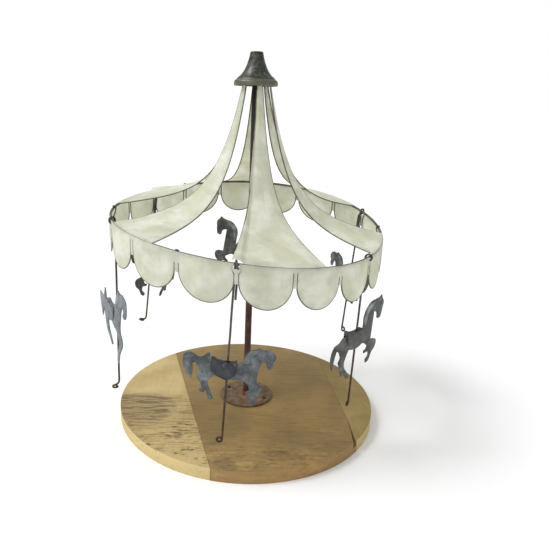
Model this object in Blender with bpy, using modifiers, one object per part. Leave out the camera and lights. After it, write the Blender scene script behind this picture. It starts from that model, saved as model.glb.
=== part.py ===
"""Tabletop carousel: a round board with a post, a cloth canopy that spins on it, and six tin horses on rods.

Metres, +Z up. The origin is the centre of the board's underside, and the front faces -Y.
Angles run counter-clockwise seen from above, from +X. The hoop is hand bent, so it is a little oval and tilted.
"""

import math

import bmesh
import bpy
from mathutils import Euler, Matrix, Vector

# Board, of three glued planks
BOARD_RADIUS = 0.150
BOARD_THICKNESS = 0.015
BOARD_SEGMENTS = 96
SEAM_GAP = 0.0003
LEFT_SEAM_X, LEFT_SEAM_SKEW = -0.0713, math.radians(-14.4)
RIGHT_SEAM_X, RIGHT_SEAM_SKEW = 0.1110, math.radians(-5.5)

# Foot plate, its screws and the post
FIT_GAP = 0.0003
PLATE_RADIUS, PLATE_THICKNESS = 0.031, 0.0025
SCREW_CIRCLE, SCREW_HEAD_RADIUS, SCREW_SHANK_RADIUS = 0.0247, 0.0021, 0.0009
SCREW_ANGLES = {"left": math.radians(150), "right": math.radians(330)}
POST_RADIUS = 0.0038
SPIGOT_RADIUS = 0.0025
SHOULDER_HEIGHT = 0.3710
POST_TOP = 0.3985
COLLAR_RADIUS, COLLAR_HEIGHT = 0.0068, 0.0035

# Cap and the hub inside it
CAP_BOTTOM = 0.3700
CAP_HEIGHT = 0.0330
HUB_BORE = 0.0029
HUB_TOP = 0.3945
HUB_BOSS_RADIUS, HUB_NECK_RADIUS = 0.0066, 0.0050
HUB_FLANGE_RADIUS, HUB_FLANGE_THICKNESS, HUB_FLANGE_RISE = 0.0118, 0.0022, 0.0022

# Hoop
HOOP_X, HOOP_Y, HOOP_HEIGHT = -0.002, -0.003, 0.2357
HOOP_RADIUS = 0.1473
HOOP_WIRE = 0.0013
HOOP_FALL_RIGHT, HOOP_RISE_BACK = 0.079, 0.0975
HOOP_OVAL, HOOP_OVAL_ANGLE = 0.045, math.radians(58)
HOOP_WAVE, HOOP_WAVE_ANGLE = 0.0042, math.radians(62)

# Scalloped panels under the hoop
PANELS = 18
PITCH = 2 * math.pi / PANELS
FIRST_JUNCTION = math.radians(266)
CLOTH = 0.0006
WIRE = 0.0006
PANEL_STRAIGHT = 0.0145
PANEL_WIRE_RADIUS = 0.0237
SCALLOP_RADIUS = 0.0245
WEB_DEPTH = 0.0175
PANEL_WIRE_OUT = 0.0007
HOOK_BYPASS = 0.0020
SKIRT_OUT = 0.0022
SKIRT_TOP = 0.0005
NOTCH_HALF, NOTCH_DEPTH = 0.0031, 0.0048

# Cloth gores: first and last place on the hoop, in panels from the front junction, then at the cap, in degrees,
# how sharply the gore flares, and the share of its fall that is even
GORES = {
    "front": (-0.10, 1.65, 274, 299, 5.5, 0.20),
    "right_front": (3.20, 4.60, 338, 362, 5.0, 0.15),
    "right_back": (6.30, 7.70, 392, 418, 5.0, 0.15),
    "back": (8.70, 10.00, 440, 464, 4.5, 0.10),
    "left_back": (11.90, 13.70, 486, 508, 6.5, 0.15),
    "left_front": (15.22, 16.52, 571, 595, 4.7, 0.07),
}
GORE_TOP_RADIUS, GORE_TOP_HEIGHT = 0.0160, 0.3770
GORE_LIFT, GORE_HOOK_LIFT = 0.0023, 0.0032
GORE_OUT = 0.0010
GORE_BEND_RADIUS, GORE_BEND_HEIGHT = 0.0131, 0.3790
HOOK_LIFT_NEAR, HOOK_LIFT_FAR = 0.12, 0.40
GORE_EDGE_INSET = 0.0009
GORE_WIRE_END = 0.972
GORE_ROWS, GORE_COLUMNS = 10, 6
GORE_CROWDING = 1.4

# Rods: panel junction, length, lean along and out from the hoop in degrees, and how the lower eye lies
ROD_WIRE = 0.00105
HOOK_BEND = 0.0030
HOOK_SIDE = 0.0012
RETURN_LEG = 0.033
EYE_RADIUS = 0.0025
EYE_BEND = 0.0050
EYE_TURN = math.radians(285)
EYE_LEG = 1.3
RODS = {
    "front": (0, 0.175, -3.0, 0.0, "upright"),
    "right_front": (3, 0.156, -3.2, 0.0, "upright"),
    "right_back": (6, 0.152, 1.7, -3.4, "upright"),
    "back": (9, 0.165, 2.0, 0.0, "upright"),
    "left_back": (12, 0.165, 7.0, 2.0, "flat"),
    "left_front": (15, 0.181, -0.5, 1.0, "flat"),
}

# Horses: outline, drop below the hoop, nose-up angle and turn about the rod in degrees, place ahead of the rod, scale
TIN = 0.0012
SADDLE_TIN = 0.0008
HORSES = {
    "front": ("walking", 0.0995, 2, 0, 0.0, 1.0),
    "right_front": ("rearing", 0.0820, 5.5, -14, -0.002, 1.0),
    "right_back": ("walking", 0.0830, 0, 0, 0.006, 1.0),
    "back": ("rearing", 0.0990, 14, 0, 0.019, 1.02),
    "left_back": ("rearing", 0.0970, -5, 0, -0.009, 1.0),
    "left_front": ("prancing", 0.1003, 0, 6, 0.004, 1.0),
}
# Each outline from the poll round the face, legs, rump and back, in mm ahead of and above the rod's crossing
HORSE_OUTLINES = {
    "walking": (
        (23.3, 20.9), (28.6, 22.6), (30.6, 21.4), (37.6, 21.3), (41.8, 18.4), (43.6, 13.8), (41.4, 9.8),
        (41.6, 6.2), (40.1, 2.9), (37.3, 1.8), (35.8, 5.4), (34.5, 9), (31.5, 9.6), (29.7, 5), (28.1, -2.1),
        (27.2, -12.6), (31.6, -15.4), (32, -18), (29.6, -22.5), (27.6, -28.4), (25.4, -34.4), (24.6, -36),
        (20.2, -35.4), (21.6, -32), (23, -28), (18.2, -25.2), (17.6, -22), (20.8, -19.6), (18.6, -13.4),
        (14.5, -11.2), (9.6, -10.4), (0.4, -10.6), (-6, -9.4), (-11.6, -6.9), (-14.4, -9.4), (-17.4, -14),
        (-15.6, -21.4), (-14, -26.6), (-12.2, -30.2), (-13.2, -32.2), (-16.4, -31.8), (-18.4, -26), (-20, -22.4),
        (-20.8, -25.4), (-24.6, -25.2), (-25.6, -21.8), (-23.6, -19.6), (-24.8, -14.6), (-28.8, -9), (-25.8, -3.6),
        (-29.2, 5), (-32, 3.4), (-31.6, -4), (-32.6, -12), (-35.4, -9.4), (-39.2, -2.4), (-40.8, 6),
        (-39.6, 12.4), (-35, 14.8), (-30.4, 13.2), (-26, 10.6), (-21.8, 11.8), (-18.4, 14.8), (-15.8, 15.2),
        (-15.4, 4.8), (9.4, 4.8), (10.5, 7.4), (13.7, 7.4), (15, 11.4), (17, 16), (19.8, 19.2),
    ),
    "rearing": (
        (30.7, 33.5), (36.4, 34.4), (39.2, 36.2), (40.2, 32.9), (42.8, 28), (41.4, 21.9), (39.6, 15.8),
        (37.8, 12), (34.6, 10.8), (32.4, 12.6), (32.4, 16), (30.9, 19), (27.2, 20.6), (26.4, 14), (25.6, 7.5),
        (24.4, -2.4), (23.4, -9), (31.6, -11.2), (33.2, -13.4), (31.6, -20), (26.4, -25), (21.4, -33.4),
        (17.2, -34.6), (16.8, -31.4), (21, -26.6), (20.6, -22.2), (13.4, -22.4), (13, -19.8), (16.4, -18.6),
        (18.4, -15.4), (14.4, -12), (10.8, -10), (3.5, -11.9), (-3, -12.6), (-11.8, -10.4), (-14.8, -14.9),
        (-18.4, -23.5), (-17.6, -28.4), (-12.5, -35.9), (-10.2, -41.4), (-13.6, -42.2), (-17.6, -35.6),
        (-19.6, -31.4), (-19.2, -36.8), (-22.9, -36.6), (-24.2, -29), (-27.6, -20.3), (-24.4, -15.3),
        (-27.5, -8.1), (-30.6, -6.4), (-33.4, -13), (-36.8, -25.8), (-39, -18), (-38.6, -9.5), (-33.6, -1),
        (-26.4, 1.2), (-20.6, 5.4), (-15.4, 4.8), (9.4, 4.8), (10.4, 12.4), (12, 22.3), (16.7, 28.7), (22.8, 32.6),
    ),
    "prancing": (
        (13, 28.2), (16.8, 28.6), (21.5, 27.2), (26.4, 24.4), (28.6, 19), (28.4, 13.1), (25.8, 6), (21.4, 4.4),
        (17.4, 6.4), (19.8, 10.8), (18.4, 16.4), (14.6, 12.5), (11, 1), (9.4, -14.5), (14, -21.4), (15.2, -27.6),
        (10, -35.4), (5.4, -43), (3.6, -50.8), (1.4, -53), (-1, -51.4), (0.4, -42), (4, -33), (7, -27.6),
        (3.4, -22), (-3, -16.6), (-9, -14.6), (-21, -6.1), (-26.8, -13.4), (-25.4, -21.4), (-19.4, -30),
        (-14.6, -36.6), (-17.4, -38.8), (-21.8, -34), (-30.2, -27), (-34.6, -20.2), (-37.6, -10.2), (-40.6, -1.9),
        (-42.6, -8), (-45.5, -14.4), (-49.4, -5), (-52.4, 6), (-52, 12.3), (-47.6, 11), (-43.2, 9.4), (-38.6, 13.4), (-36.2, 21),
        (-33.4, 15.6), (-33.2, 4.8),
        (-7, 4.8), (-4.4, 11.3), (-1.4, 19.9), (3.4, 26.4), (6, 30), (9, 28.4),
    ),
}
# How far each outline's saddle lies ahead of the rod's crossing, in mm
SADDLE_AHEAD = {"walking": 0, "rearing": 0, "prancing": -17}
SADDLE_OUTLINE = (
    (-14.8, 10.2), (-12.5, 9.8), (-9, 7.8), (-3, 6.7), (4, 6.7), (8.6, 7.6), (9, 3), (8.2, -3.5), (5, -8),
    (-1, -10.4), (-6, -8.6), (-12.5, -4.6), (-15, -2),
)
SLOT_TOP = 0.0051
SADDLE_HOLE_STRETCH = 1.8
SADDLE_HOLE_HEIGHT = 6.5
SLOT_LENGTH, SLOT_DEPTH = 0.06, 0.04
# The saddle's slot runs from outside the horse's sheet to inside the rod, measured from the hoop towards the post
SADDLE_OUTER = HOOK_BEND - ROD_WIRE - FIT_GAP - TIN - FIT_GAP
SADDLE_INNER = HOOK_BEND + ROD_WIRE + FIT_GAP
SADDLE_MIDDLE = (SADDLE_OUTER + SADDLE_INNER) / 2

MM = 0.001


def clear_scene():
    for thing in list(bpy.data.objects):
        bpy.data.objects.remove(thing, do_unlink=True)


def new_collection(name):
    collection = bpy.data.collections.new(name)
    bpy.context.scene.collection.children.link(collection)
    return collection


clear_scene()
CAROUSEL = new_collection("carousel_ornament")
CUTTERS = new_collection("cutters")


def linear(hex_colour):
    channels = [int(hex_colour[i : i + 2], 16) / 255 for i in (1, 3, 5)]
    return [c / 12.92 if c <= 0.04045 else ((c + 0.055) / 1.055) ** 2.4 for c in channels] + [1.0]


def make_material(name, colour, roughness, metallic=0.0):
    material = bpy.data.materials.new(name)
    material.use_nodes = True
    shader = material.node_tree.nodes["Principled BSDF"]
    shader.inputs["Base Color"].default_value = linear(colour)
    shader.inputs["Roughness"].default_value = roughness
    shader.inputs["Metallic"].default_value = metallic
    return material


PALE_WOOD = make_material("pale_sawn_pine", "#c8b680", 0.75)
BROWN_WOOD = make_material("brown_sanded_pine", "#977f50", 0.7)
RUST_STEEL = make_material("rusted_steel", "#6e5240", 0.7, 0.5)
DARK_STEEL = make_material("dark_steel", "#54382e", 0.6, 0.6)
PEWTER = make_material("pewter_grey_sheet", "#5a5f5a", 0.45, 0.8)
BRASS = make_material("turned_brass", "#9a8352", 0.4, 0.9)
CANVAS = make_material("stiffened_cream_muslin", "#d8d9c6", 0.9)
FRAME_WIRE = make_material("dark_annealed_wire", "#5a594b", 0.5, 0.8)
ROD_STEEL = make_material("rod_wire", "#4a4038", 0.5, 0.8)
HORSE_TIN = make_material("aged_tin_sheet", "#6e706b", 0.45, 0.8)
SADDLE_PAINT = make_material("charcoal_tin_sheet", "#43444a", 0.6, 0.5)


def add_object(name, data, material, parent=None, matrix=None):
    """A new sub-part in the carousel's collection. The matrix is in the parent's frame."""
    thing = bpy.data.objects.new(name, data)
    CAROUSEL.objects.link(thing)
    if not data.materials:
        data.materials.append(material)
    thing.parent = parent
    if matrix is not None:
        thing.matrix_local = matrix
    return thing


def helper(name, mesh):
    """A cutter or a blank, which the build leaves out."""
    thing = bpy.data.objects.new(name, mesh)
    CUTTERS.objects.link(thing)
    thing.hide_render = True
    thing.display_type = "WIRE"
    return thing


def add_empty(name, matrix, parent=None):
    empty = bpy.data.objects.new(name, None)
    empty.empty_display_size = 0.01
    CAROUSEL.objects.link(empty)
    empty.parent = parent
    empty.matrix_local = matrix
    return empty


def smooth(mesh, angle=35):
    mesh.shade_smooth()
    mesh.set_sharp_from_angle(angle=math.radians(angle))


def turned(name, profile, material, parent, steps=24):
    """A turned shape: the profile of (radius, height) points runs down the outer side, and spins about Z."""
    mesh = bpy.data.meshes.new(name)
    bm = bmesh.new()
    points = [bm.verts.new((radius, 0, height)) for radius, height in profile]
    for a, b in zip(points, points[1:]):
        bm.edges.new((a, b))
    if profile[0][0] > 0:
        bm.edges.new((points[-1], points[0]))
    bm.to_mesh(mesh)
    bm.free()
    thing = add_object(name, mesh, material, parent)
    screw = thing.modifiers.new("turn", "SCREW")
    screw.steps = screw.render_steps = steps
    screw.use_merge_vertices = True
    screw.merge_threshold = 0.00001
    screw.use_smooth_shade = True
    return thing


def wire(name, points, radius, material, parent, closed=False, sides=6):
    """A wire of round section along the points."""
    curve = bpy.data.curves.new(name, "CURVE")
    curve.dimensions = "3D"
    curve.bevel_depth = radius
    curve.bevel_resolution = (sides - 4) // 2
    curve.use_fill_caps = not closed
    spline = curve.splines.new("POLY")
    spline.points.add(len(points) - 1)
    for place, point in zip(spline.points, points):
        place.co = (*point, 1)
    spline.use_cyclic_u = closed
    return add_object(name, curve, material, parent)


def flat_outline(name, outline, thickness):
    """A flat sheet standing in the XZ plane, from an outline in mm, as a mesh."""
    curve = bpy.data.curves.new(name, "CURVE")
    curve.dimensions = "2D"
    curve.fill_mode = "BOTH"
    curve.extrude = thickness / 2
    spline = curve.splines.new("POLY")
    spline.points.add(len(outline) - 1)
    for place, (x, z) in zip(spline.points, outline):
        place.co = (x * MM, z * MM, 0, 1)
    spline.use_cyclic_u = True
    guide = bpy.data.objects.new(name, curve)
    CAROUSEL.objects.link(guide)
    bpy.context.view_layer.update()
    mesh = bpy.data.meshes.new_from_object(guide.evaluated_get(bpy.context.evaluated_depsgraph_get()))
    bpy.data.objects.remove(guide)
    bm = bmesh.new()
    bm.from_mesh(mesh)
    bmesh.ops.remove_doubles(bm, verts=bm.verts, dist=0.000001)
    bmesh.ops.transform(bm, matrix=Matrix.Rotation(math.pi / 2, 4, "X"), verts=bm.verts)
    bmesh.ops.recalc_face_normals(bm, faces=bm.faces)
    bm.to_mesh(mesh)
    bm.free()
    return mesh


def hoop_point(angle):
    """The centre of the hoop's wire at an angle about the hoop's own centre."""
    radius = HOOP_RADIUS * (1 + HOOP_OVAL * math.cos(2 * (angle - HOOP_OVAL_ANGLE)))
    across, along = radius * math.cos(angle), radius * math.sin(angle)
    wave = HOOP_WAVE * math.cos(2 * (angle - HOOP_WAVE_ANGLE))
    height = HOOP_HEIGHT - HOOP_FALL_RIGHT * across + HOOP_RISE_BACK * along + wave
    return Vector((HOOP_X + across, HOOP_Y + along, height))


def junction_angle(place):
    """The angle of a place counted in panels from the front junction."""
    return FIRST_JUNCTION + place * PITCH


def beside_hoop(angle, outward, upward):
    """A point beside the hoop: outward in plan, and upward."""
    out = Vector((math.cos(angle), math.sin(angle), 0))
    return hoop_point(angle) + out * outward + Vector((0, 0, upward))


# Board


def seam_plane(x, skew):
    """A point on a seam and the direction across it, to the right."""
    return Vector((x, 0, 0)), Vector((math.cos(skew), -math.sin(skew), 0))


def plank(name, material, left_seam, right_seam):
    bm = bmesh.new()
    bmesh.ops.create_cone(
        bm,
        cap_ends=True,
        segments=BOARD_SEGMENTS,
        radius1=BOARD_RADIUS,
        radius2=BOARD_RADIUS,
        depth=BOARD_THICKNESS,
        matrix=Matrix.Translation((0, 0, BOARD_THICKNESS / 2)),
    )
    for seam, side in ((left_seam, -1), (right_seam, 1)):
        if seam is None:
            continue
        point, across = seam_plane(*seam)
        geometry = bm.verts[:] + bm.edges[:] + bm.faces[:]
        cut = bmesh.ops.bisect_plane(
            bm,
            geom=geometry,
            plane_co=point - across * (side * SEAM_GAP / 2),
            plane_no=across * side,
            clear_outer=True,
        )
        edges = [piece for piece in cut["geom_cut"] if isinstance(piece, bmesh.types.BMEdge)]
        bmesh.ops.holes_fill(bm, edges=edges, sides=0)
    bmesh.ops.recalc_face_normals(bm, faces=bm.faces)
    mesh = bpy.data.meshes.new(name)
    bm.to_mesh(mesh)
    bm.free()
    smooth(mesh)
    return add_object(name, mesh, material, BASE)


def make_board():
    left = (LEFT_SEAM_X, LEFT_SEAM_SKEW)
    right = (RIGHT_SEAM_X, RIGHT_SEAM_SKEW)
    plank("plank_left", PALE_WOOD, None, left)
    plank("plank_middle", BROWN_WOOD, left, right)
    plank("plank_right", PALE_WOOD, right, None)


# Post and plate


def plate_with_holes(bottom, top):
    bm = bmesh.new()
    middle = Matrix.Translation((0, 0, (bottom + top) / 2))
    bmesh.ops.create_cone(
        bm,
        cap_ends=True,
        segments=48,
        radius1=PLATE_RADIUS,
        radius2=PLATE_RADIUS,
        depth=top - bottom,
        matrix=middle,
    )
    mesh = bpy.data.meshes.new("foot_plate")
    bm.to_mesh(mesh)
    bm.free()
    smooth(mesh)
    plate = add_object("foot_plate", mesh, RUST_STEEL, BASE)
    holes = {name: (SCREW_CIRCLE, angle, 0.0014) for name, angle in SCREW_ANGLES.items()}
    holes["post"] = (0, 0, POST_RADIUS + FIT_GAP)
    for name, (distance, angle, radius) in holes.items():
        place = Vector((distance * math.cos(angle), distance * math.sin(angle), (bottom + top) / 2))
        cut_hole(plate, f"plate_hole_{name}", place, radius, 0.02, 24 if name == "post" else 12)
    return plate


def cut_hole(target, name, place, radius, depth, segments, stretch=1):
    """Cuts a hole along Z, drawn out along X by the stretch."""
    bm = bmesh.new()
    bmesh.ops.create_cone(
        bm, cap_ends=True, segments=segments, radius1=radius, radius2=radius, depth=depth
    )
    bmesh.ops.transform(bm, matrix=Matrix.Diagonal((stretch, 1, 1, 1)), verts=bm.verts)
    mesh = bpy.data.meshes.new(name)
    bm.to_mesh(mesh)
    bm.free()
    cutter = helper(name, mesh)
    cutter.parent = target.parent
    cutter.location = place
    cut = target.modifiers.new(name, "BOOLEAN")
    cut.object = cutter
    cut.operation = "DIFFERENCE"
    return cutter


def make_post():
    bottom = BOARD_THICKNESS + FIT_GAP
    top = bottom + PLATE_THICKNESS
    plate_with_holes(bottom, top)
    for name, angle in SCREW_ANGLES.items():
        screw = turned(
            f"plate_screw_{name}",
            [
                (0, top + 0.0013),
                (SCREW_HEAD_RADIUS * 0.6, top + 0.0012),
                (SCREW_HEAD_RADIUS, top + 0.0006),
                (SCREW_HEAD_RADIUS, top + FIT_GAP),
                (SCREW_SHANK_RADIUS, top + FIT_GAP),
                (SCREW_SHANK_RADIUS, bottom),
                (0, bottom),
            ],
            DARK_STEEL,
            BASE,
            12,
        )
        screw.location = (SCREW_CIRCLE * math.cos(angle), SCREW_CIRCLE * math.sin(angle), 0)
    weld = POST_RADIUS + 0.0026
    turned(
        "post",
        [
            (0, POST_TOP),
            (SPIGOT_RADIUS * 0.7, POST_TOP),
            (SPIGOT_RADIUS, POST_TOP - 0.0007),
            (SPIGOT_RADIUS, SHOULDER_HEIGHT),
            (POST_RADIUS, SHOULDER_HEIGHT),
            (POST_RADIUS, top + 0.0075),
            (POST_RADIUS + 0.0008, top + 0.0040),
            (weld, top + 0.0016),
            (weld, top + FIT_GAP),
            (POST_RADIUS, top + FIT_GAP),
            (POST_RADIUS, bottom),
            (0, bottom),
        ],
        RUST_STEEL,
        BASE,
        20,
    )
    seat = SHOULDER_HEIGHT + FIT_GAP
    inner, outer = SPIGOT_RADIUS + FIT_GAP, COLLAR_RADIUS
    collar_top = seat + COLLAR_HEIGHT
    turned(
        "thrust_collar",
        [(outer, collar_top), (outer, seat), (inner, seat), (inner, collar_top)],
        BRASS,
        BASE,
        20,
    )


# Cap and hub


def make_cap():
    lip = CAP_BOTTOM
    outer = (
        (0, 33), (5.4, 33), (6.5, 32.2), (6.9, 29.5), (8.2, 24.5), (10.2, 19), (13, 13.6), (16.6, 9.4),
        (20.6, 6.8), (22.2, 5.2), (22.5, 2.6), (21.8, 0),
    )
    inner = ((20.6, 0), (20.6, 4.4), (16, 7.9), (12, 12.6), (9, 18.4), (6.9, 24.2), (5.6, 29.6), (0, 31.6))
    profile = [(radius * MM, lip + height * MM) for radius, height in outer + inner]
    turned("cap", profile, PEWTER, CANOPY, 28)
    seat = SHOULDER_HEIGHT + FIT_GAP + COLLAR_HEIGHT + FIT_GAP
    boss, neck = HUB_BOSS_RADIUS, HUB_NECK_RADIUS
    flange_bottom = seat + HUB_FLANGE_RISE
    flange_top = flange_bottom + HUB_FLANGE_THICKNESS
    turned(
        "hub",
        [
            (neck, HUB_TOP),
            (neck, flange_top + 0.004),
            (boss, flange_top),
            (HUB_FLANGE_RADIUS, flange_top),
            (HUB_FLANGE_RADIUS, flange_bottom),
            (boss, flange_bottom),
            (boss, seat),
            (HUB_BORE, seat),
            (HUB_BORE, HUB_TOP),
        ],
        BRASS,
        CANOPY,
        20,
    )


# Hoop, panels and skirt


def make_hoop():
    steps = 72
    points = [hoop_point(FIRST_JUNCTION + 2 * math.pi * i / steps) for i in range(steps)]
    wire("hoop", points, HOOP_WIRE, FRAME_WIRE, CANOPY, closed=True)


def panel_side(junction):
    """One side of a U, as (distance from the panel's middle, height), bent clear of a rod's hook."""
    top = -(HOOP_WIRE + FIT_GAP)
    side = [(PANEL_WIRE_RADIUS, top)]
    if junction % PANELS in {place for place, *_ in RODS.values()}:
        aside = PANEL_WIRE_RADIUS - HOOK_BYPASS
        side = [(aside, top), (aside, -NOTCH_DEPTH), (PANEL_WIRE_RADIUS, -NOTCH_DEPTH * 1.8)]
    return side + [(PANEL_WIRE_RADIUS, -PANEL_STRAIGHT)]


def make_panel_wire(number):
    """One U of wire, from the hoop down, round and up again. It ends just under the hoop."""
    middle = junction_angle(number + 0.5)
    bottom_points = 8
    outline = [(-s, z) for s, z in panel_side(number)]
    for i in range(1, bottom_points):
        turn = math.pi * i / bottom_points
        across = -PANEL_WIRE_RADIUS * math.cos(turn)
        outline.append((across, -PANEL_STRAIGHT - PANEL_WIRE_RADIUS * math.sin(turn)))
    outline += panel_side(number + 1)[::-1]
    points = [beside_hoop(middle + s / HOOP_RADIUS, PANEL_WIRE_OUT, z) for s, z in outline]
    wire(f"panel_wire_{number + 1:02d}", points, WIRE, FRAME_WIRE, CANOPY)


def skirt_columns():
    """The skirt's columns round the hoop, as (angle, top, bottom) with heights from the hoop's centre."""
    hooked = {place for place, *_ in RODS.values()}
    half = PITCH * HOOP_RADIUS / 2
    columns = []
    for number in range(PANELS):
        places = [SCALLOP_RADIUS * math.sin(math.radians(d)) for d in (-90, -68, -45, -22, 0, 22, 45, 68, 90)]
        if number in hooked:
            places += [-half + NOTCH_HALF, -half + NOTCH_HALF + 0.0003]
        if (number + 1) % PANELS in hooked:
            places += [half - NOTCH_HALF, half - NOTCH_HALF - 0.0003]
        for s in sorted(places):
            gap = half - abs(s)
            edge = number if s < 0 else (number + 1) % PANELS
            notched = edge in hooked and gap < NOTCH_HALF + 0.0001
            drop = math.sqrt(max(SCALLOP_RADIUS**2 - s**2, 0))
            bottom = -max(WEB_DEPTH, PANEL_STRAIGHT + drop)
            angle = junction_angle(number + 0.5) + s / HOOP_RADIUS
            columns.append((angle, -NOTCH_DEPTH if notched else SKIRT_TOP, bottom))
    return columns


def make_skirt():
    """The scalloped cloth ring: a strip of quads bent round the hoop, then thickened inwards."""
    columns = skirt_columns()
    bm = bmesh.new()
    bmesh.ops.create_grid(bm, x_segments=len(columns), y_segments=1, size=0.5)
    for vert in bm.verts:
        column = round((vert.co.x + 0.5) * len(columns)) % len(columns)
        angle, top, bottom = columns[column]
        vert.co = beside_hoop(angle, SKIRT_OUT, top if vert.co.y > 0 else bottom)
    bmesh.ops.remove_doubles(bm, verts=bm.verts, dist=0.00001)
    mesh = bpy.data.meshes.new("skirt_cloth")
    bm.to_mesh(mesh)
    bm.free()
    smooth(mesh, 60)
    thicken(add_object("skirt_cloth", mesh, CANVAS, CANOPY), outward=True)


def thicken(thing, outward):
    """Gives a sheet its thickness on the inner side of the surface that it was drawn on."""
    solidify = thing.modifiers.new("cloth_thickness", "SOLIDIFY")
    solidify.thickness = CLOTH
    solidify.offset = -1 if outward else 1


# Gores


def gore_point(gore, down, across):
    """A point on a gore's outer face: down runs 0 to 1 from cap to hoop, across 0 to 1 between its edges."""
    first, last, cap_first, cap_last, flare, even = GORES[gore]
    place = first + (last - first) * across
    hoop = hoop_point(junction_angle(place))
    top_angle = math.radians(cap_first + (cap_last - cap_first) * across)
    top = Vector((math.cos(top_angle), math.sin(top_angle), 0)) * GORE_TOP_RADIUS
    hook = min(abs(place - rod[0]) for rod in RODS.values())
    rise = min(max((HOOK_LIFT_FAR - hook) / (HOOK_LIFT_FAR - HOOK_LIFT_NEAR), 0), 1)
    lift = GORE_LIFT + GORE_HOOK_LIFT * rise
    hoop_z = hoop.z + lift
    flat = math.exp(-flare)
    fall = (1 - even) * (math.exp(-flare * down) - flat) / (1 - flat) + even * (1 - down)
    plan = Vector((hoop.x, hoop.y, 0))
    plan += plan.normalized() * GORE_OUT
    spread = top.lerp(plan, down)
    return Vector((spread.x, spread.y, hoop_z + (GORE_TOP_HEIGHT - hoop_z) * fall))


def gore_normal(gore, down, across):
    step = 0.01
    d = min(max(down, step), 1 - step)
    a = min(max(across, step), 1 - step)
    along = gore_point(gore, d + step, a) - gore_point(gore, d - step, a)
    side = gore_point(gore, d, a + step) - gore_point(gore, d, a - step)
    return side.cross(along).normalized() * -1


def make_gore(gore):
    bm = bmesh.new()
    bmesh.ops.create_grid(bm, x_segments=GORE_COLUMNS, y_segments=GORE_ROWS, size=0.5)
    for vert in bm.verts:
        vert.co = gore_point(gore, (0.5 - vert.co.y) ** GORE_CROWDING, vert.co.x + 0.5)
    mesh = bpy.data.meshes.new(f"gore_cloth_{gore}")
    bm.to_mesh(mesh)
    bm.free()
    smooth(mesh, 60)
    thicken(add_object(mesh.name, mesh, CANVAS, CANOPY), outward=True)

    depth = CLOTH + 2 * FIT_GAP + WIRE
    downs = [(i / GORE_ROWS) ** GORE_CROWDING for i in range(GORE_ROWS)] + [GORE_WIRE_END]

    def edge(side):
        points = []
        for down in downs:
            width = (gore_point(gore, down, 1) - gore_point(gore, down, 0)).length
            across_at = side + (1 - 2 * side) * GORE_EDGE_INSET / width
            normal = gore_normal(gore, down, across_at)
            points.append(gore_point(gore, down, across_at) - normal * depth)
        return points

    left, right = edge(0), edge(1)
    bend = []
    for part in (0.3, 0.5, 0.7):
        point = left[0].lerp(right[0], part)
        plan = Vector((point.x, point.y, 0)).normalized() * GORE_BEND_RADIUS
        bend.append(Vector((plan.x, plan.y, GORE_BEND_HEIGHT)))
    wire(f"gore_wire_{gore}", left[::-1] + bend + right, WIRE, FRAME_WIRE, CANOPY)


# Rods, horses and saddles


def rod_frame(rod):
    """A frame at the hook: X along the hoop, Y towards the post, Z up, then leaned as the rod hangs."""
    place, _, lean_along, lean_out, _ = RODS[rod]
    angle = junction_angle(place)
    turn = Matrix.Rotation(angle + math.pi / 2, 4, "Z")
    lean = Euler((math.radians(-lean_out), math.radians(-lean_along), 0)).to_matrix().to_4x4()
    return Matrix.Translation(hoop_point(angle)) @ turn @ lean


def rod_path(length, eye):
    """From the lower eye, up the long leg, over the hoop, under it and down the short leg."""
    leg = Vector((-HOOK_SIDE, HOOK_BEND, 0))
    path = []
    eye_points = 10
    if eye == "upright":
        centre = leg + Vector((-EYE_RADIUS, 0, -length))
        for i in range(eye_points, -1, -1):
            turn = -EYE_TURN * i / eye_points
            path.append(centre + Vector((math.cos(turn), 0, math.sin(turn))) * EYE_RADIUS)
    else:
        centre = leg + Vector((EYE_RADIUS, -EYE_BEND, -length))
        for i in range(eye_points, -1, -1):
            turn = math.pi + EYE_TURN * i / eye_points
            path.append(centre + Vector((math.cos(turn), math.sin(turn), 0)) * EYE_RADIUS)
        for turn in (math.radians(30), math.radians(60)):
            outward = EYE_BEND * (math.sin(turn) - 1)
            path.append(leg + Vector((0, outward, -length + EYE_BEND * (1 - math.cos(turn)))))
        path.append(leg + Vector((0, 0, -length + EYE_BEND * EYE_LEG)))
    path.append(leg + Vector((0, 0, -length / 2)))
    path.append(leg + Vector((0, 0, -HOOK_BEND * 2)))
    turns = 12
    for i in range(turns + 1):
        turn = math.radians(270) * i / turns
        side = -HOOK_SIDE + 2 * HOOK_SIDE * i / turns
        path.append(Vector((side, HOOK_BEND * math.cos(turn), HOOK_BEND * math.sin(turn))))
    for turn in (math.radians(35), math.radians(70)):
        drop = HOOK_BEND * (2 - math.cos(turn))
        path.append(Vector((HOOK_SIDE, HOOK_BEND * math.sin(turn), -drop)))
    path.append(Vector((HOOK_SIDE, HOOK_BEND, -HOOK_BEND * 2.4)))
    path.append(Vector((HOOK_SIDE, HOOK_BEND, -RETURN_LEG)))
    return path


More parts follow.
